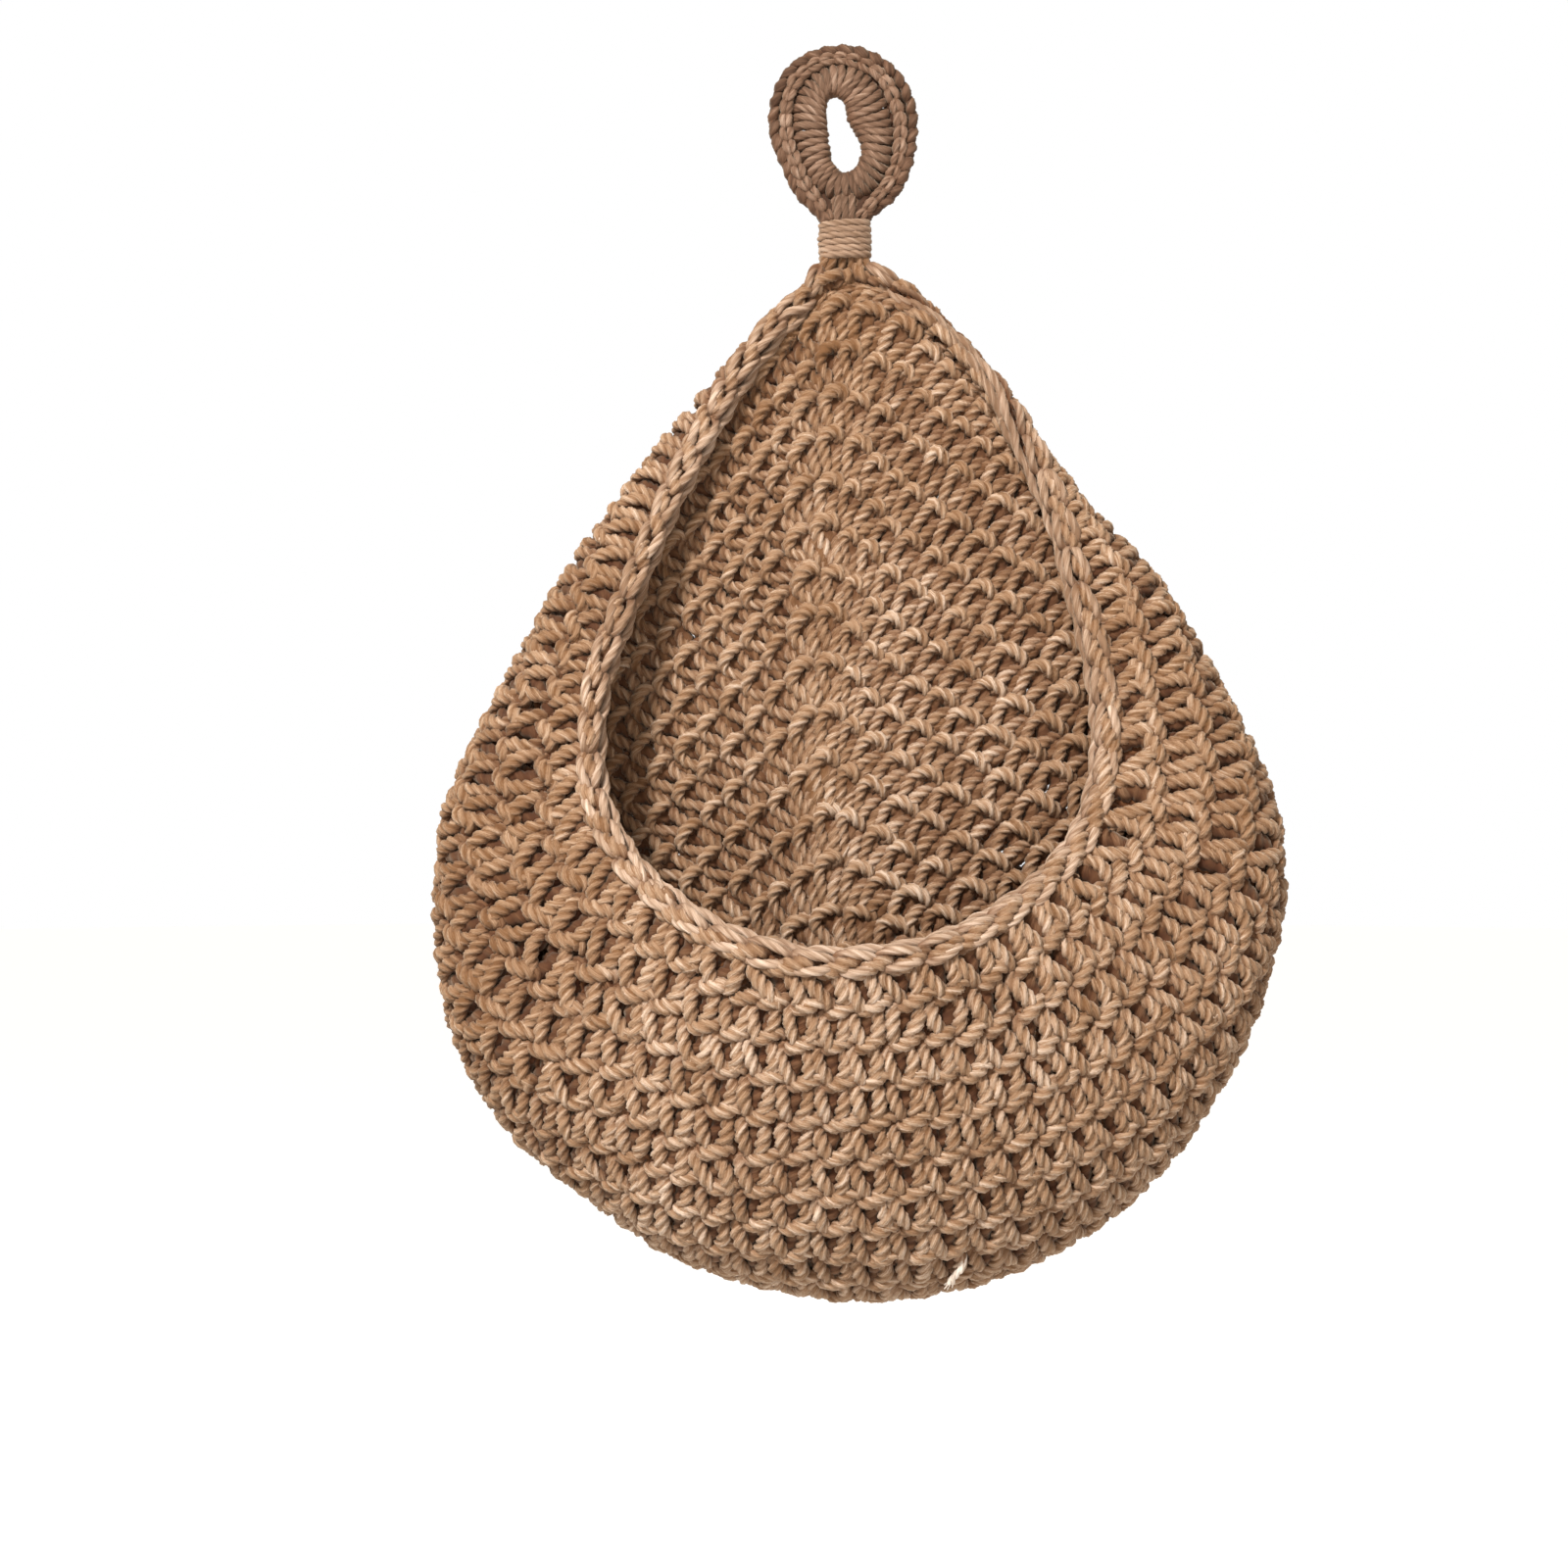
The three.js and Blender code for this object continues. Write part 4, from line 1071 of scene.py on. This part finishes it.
# ------------------------------------------------------------------ the fastened-off end
# a short piece of the yarn comes out of the fabric, lies down on it and frays
y = Yarn()
lo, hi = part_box("yarn_end")
mid_end = np.array([(lo.x + hi.x) / 2, (lo.y + hi.y) / 2, (lo.z + hi.z) / 2]) / MM
high = np.array([hi.x, lo.y, hi.z]) / MM
low = np.array([lo.x, hi.y, lo.z]) / MM
lie = (low - high) / np.linalg.norm(low - high)
out_end = np.cross(lie, [1.0, 0.0, 0.0])
out_end *= -np.sign(out_end[1]) / np.linalg.norm(out_end)
side_end = np.cross(lie, out_end)
for i in range(3):
    ph = TAU * i / 3
    at = np.linspace(-4.2, 2.9, 14)
    ring = 0.42 * (1 + 0.35 * np.clip(at - 1.2, 0, None))
    turn = ph + 1.1 * at
    lift = np.where(at < -2.2, -1.5 * (-2.2 - at), 0) - 0.75 + 0.25 * np.clip(at, 0, None)
    ctrl = mid_end + lie * at[:, None] + out_end * (lift + ring * np.sin(turn))[:, None] + side_end * (ring * np.cos(turn) + 0.12 * at)[:, None]
    y.tube(even_curve(ctrl, False, 0.4), False, 0.47, sides=8, plies=1, seed=800 + i, tint=0.1)
for i in range(8):
    d = gen.standard_normal(2) * 0.55
    at = np.array([1.2, 2.2, 3.2, 4.0 + 0.6 * gen.random()])
    grow = np.array([0.35, 0.6, 1.0, 1.5])
    ctrl = mid_end + lie * at[:, None] + out_end * (-0.45 + np.abs(d[0]) * grow)[:, None] + side_end * (0.2 + d[1] * grow)[:, None]
    y.tube(even_curve(ctrl, False, 0.4), False, 0.17, sides=5, plies=1, seed=820 + i, tint=0.1)
ob = y.make("yarn_end_tuft", jute_end)
pieces.append((ob, "yarn_end", "basket", "jute_cut_end"))

for ob, node, body, slot in pieces:
    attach(ob, body)
    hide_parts(node)

# ------------------------------------------------------------------ stage and light
FLOOR_Z = -0.62
me = bpy.data.meshes.new("floor")
R = 8.0
n = 64
vs = [(R * math.cos(TAU * i / n), R * math.sin(TAU * i / n), FLOOR_Z) for i in range(n)]
me.from_pydata(vs, [], [list(range(n))])
floor = bpy.data.objects.new("floor", me)
bpy.context.scene.collection.objects.link(floor)
fm = bpy.data.materials.new("pale_floor")
fm.use_nodes = True
nt = fm.node_tree
fp = nt.nodes["Principled BSDF"]
fp.inputs["Base Color"].default_value = (0.66, 0.66, 0.655, 1)
fp.inputs["Roughness"].default_value = 0.95
fp.inputs["Specular IOR Level"].default_value = 0.1
# the floor glows behind the basket, like the sweep of a lit studio background
tc = nt.nodes.new("ShaderNodeTexCoord")
xyz = nt.nodes.new("ShaderNodeSeparateXYZ")
nt.links.new(tc.outputs["Object"], xyz.inputs[0])
glow = nt.nodes.new("ShaderNodeMapRange")
glow.interpolation_type = "SMOOTHSTEP"
for name, val in (("From Min", -0.10), ("From Max", 0.22), ("To Min", 0.0), ("To Max", 0.80)):
    glow.inputs[name].default_value = val
nt.links.new(xyz.outputs["Y"], glow.inputs["Value"])
fp.inputs["Emission Color"].default_value = (1, 1, 1, 1)
ray = nt.nodes.new("ShaderNodeLightPath")
seen = nt.nodes.new("ShaderNodeMix")
seen.data_type = "FLOAT"
seen.inputs["B"].default_value = 0.62
nt.links.new(ray.outputs["Is Camera Ray"], seen.inputs["Factor"])
nt.links.new(glow.outputs["Result"], seen.inputs["A"])
nt.links.new(seen.outputs["Result"], fp.inputs["Emission Strength"])
me.materials.append(fm)

# white all round, but dimmer on the side the basket faces, where the lamp is
world = bpy.data.worlds.new("studio")
bpy.context.scene.world = world
world.use_nodes = True
nt = world.node_tree
bg = nt.nodes["Background"]
bg.inputs["Color"].default_value = (1.0, 1.0, 1.0, 1)
tc = nt.nodes.new("ShaderNodeTexCoord")
xyz = nt.nodes.new("ShaderNodeSeparateXYZ")
nt.links.new(tc.outputs["Generated"], xyz.inputs[0])
dim = nt.nodes.new("ShaderNodeMapRange")
dim.interpolation_type = "SMOOTHSTEP"
for name, val in (("From Min", -0.45), ("From Max", 0.85), ("To Min", 0.35), ("To Max", 1.02)):
    dim.inputs[name].default_value = val
nt.links.new(xyz.outputs["Y"], dim.inputs["Value"])
ray = nt.nodes.new("ShaderNodeLightPath")
seen = nt.nodes.new("ShaderNodeMix")
seen.data_type = "FLOAT"
seen.inputs["B"].default_value = 1.0
nt.links.new(ray.outputs["Is Camera Ray"], seen.inputs["Factor"])
nt.links.new(dim.outputs["Result"], seen.inputs["A"])
nt.links.new(seen.outputs["Result"], bg.inputs["Strength"])
warm = nt.nodes.new("ShaderNodeMix")
warm.data_type = "RGBA"
warm.inputs["A"].default_value = (1.0, 0.91, 0.80, 1)
warm.inputs["B"].default_value = (1.0, 1.0, 1.0, 1)
share = nt.nodes.new("ShaderNodeMapRange")
for name, val in (("From Min", 0.30), ("From Max", 0.85), ("To Min", 0.0), ("To Max", 1.0)):
    share.inputs[name].default_value = val
nt.links.new(xyz.outputs["Y"], share.inputs["Value"])
both = nt.nodes.new("ShaderNodeMath")
both.operation = "MAXIMUM"
nt.links.new(share.outputs["Result"], both.inputs[0])
nt.links.new(ray.outputs["Is Camera Ray"], both.inputs[1])
nt.links.new(both.outputs[0], warm.inputs["Factor"])
nt.links.new(warm.outputs["Result"], bg.inputs["Color"])


def area(name, place, target, size, power, colour=(1, 1, 1)):
    d = bpy.data.lights.new(name, "AREA")
    d.shape = "DISK"
    d.size = size
    d.energy = power
    d.color = colour
    o = bpy.data.objects.new(name, d)
    bpy.context.scene.collection.objects.link(o)
    o.location = place
    o.rotation_euler = (Vector(target) - Vector(place)).to_track_quat("-Z", "Y").to_euler()
    return o


centre = (0.0, 0.0, -0.16)
area("key", (-0.54, -1.08, 0.80), centre, 0.30, 35.0, (1.0, 0.98, 0.945))
area("fill", (0.15, -1.35, -0.14), centre, 0.60, 4.2, (1.0, 0.98, 0.95))

scene = bpy.context.scene
scene.view_settings.view_transform = "Standard"
scene.view_settings.look = "None"
scene.view_settings.exposure = 0.0
scene.view_settings.gamma = 1.0
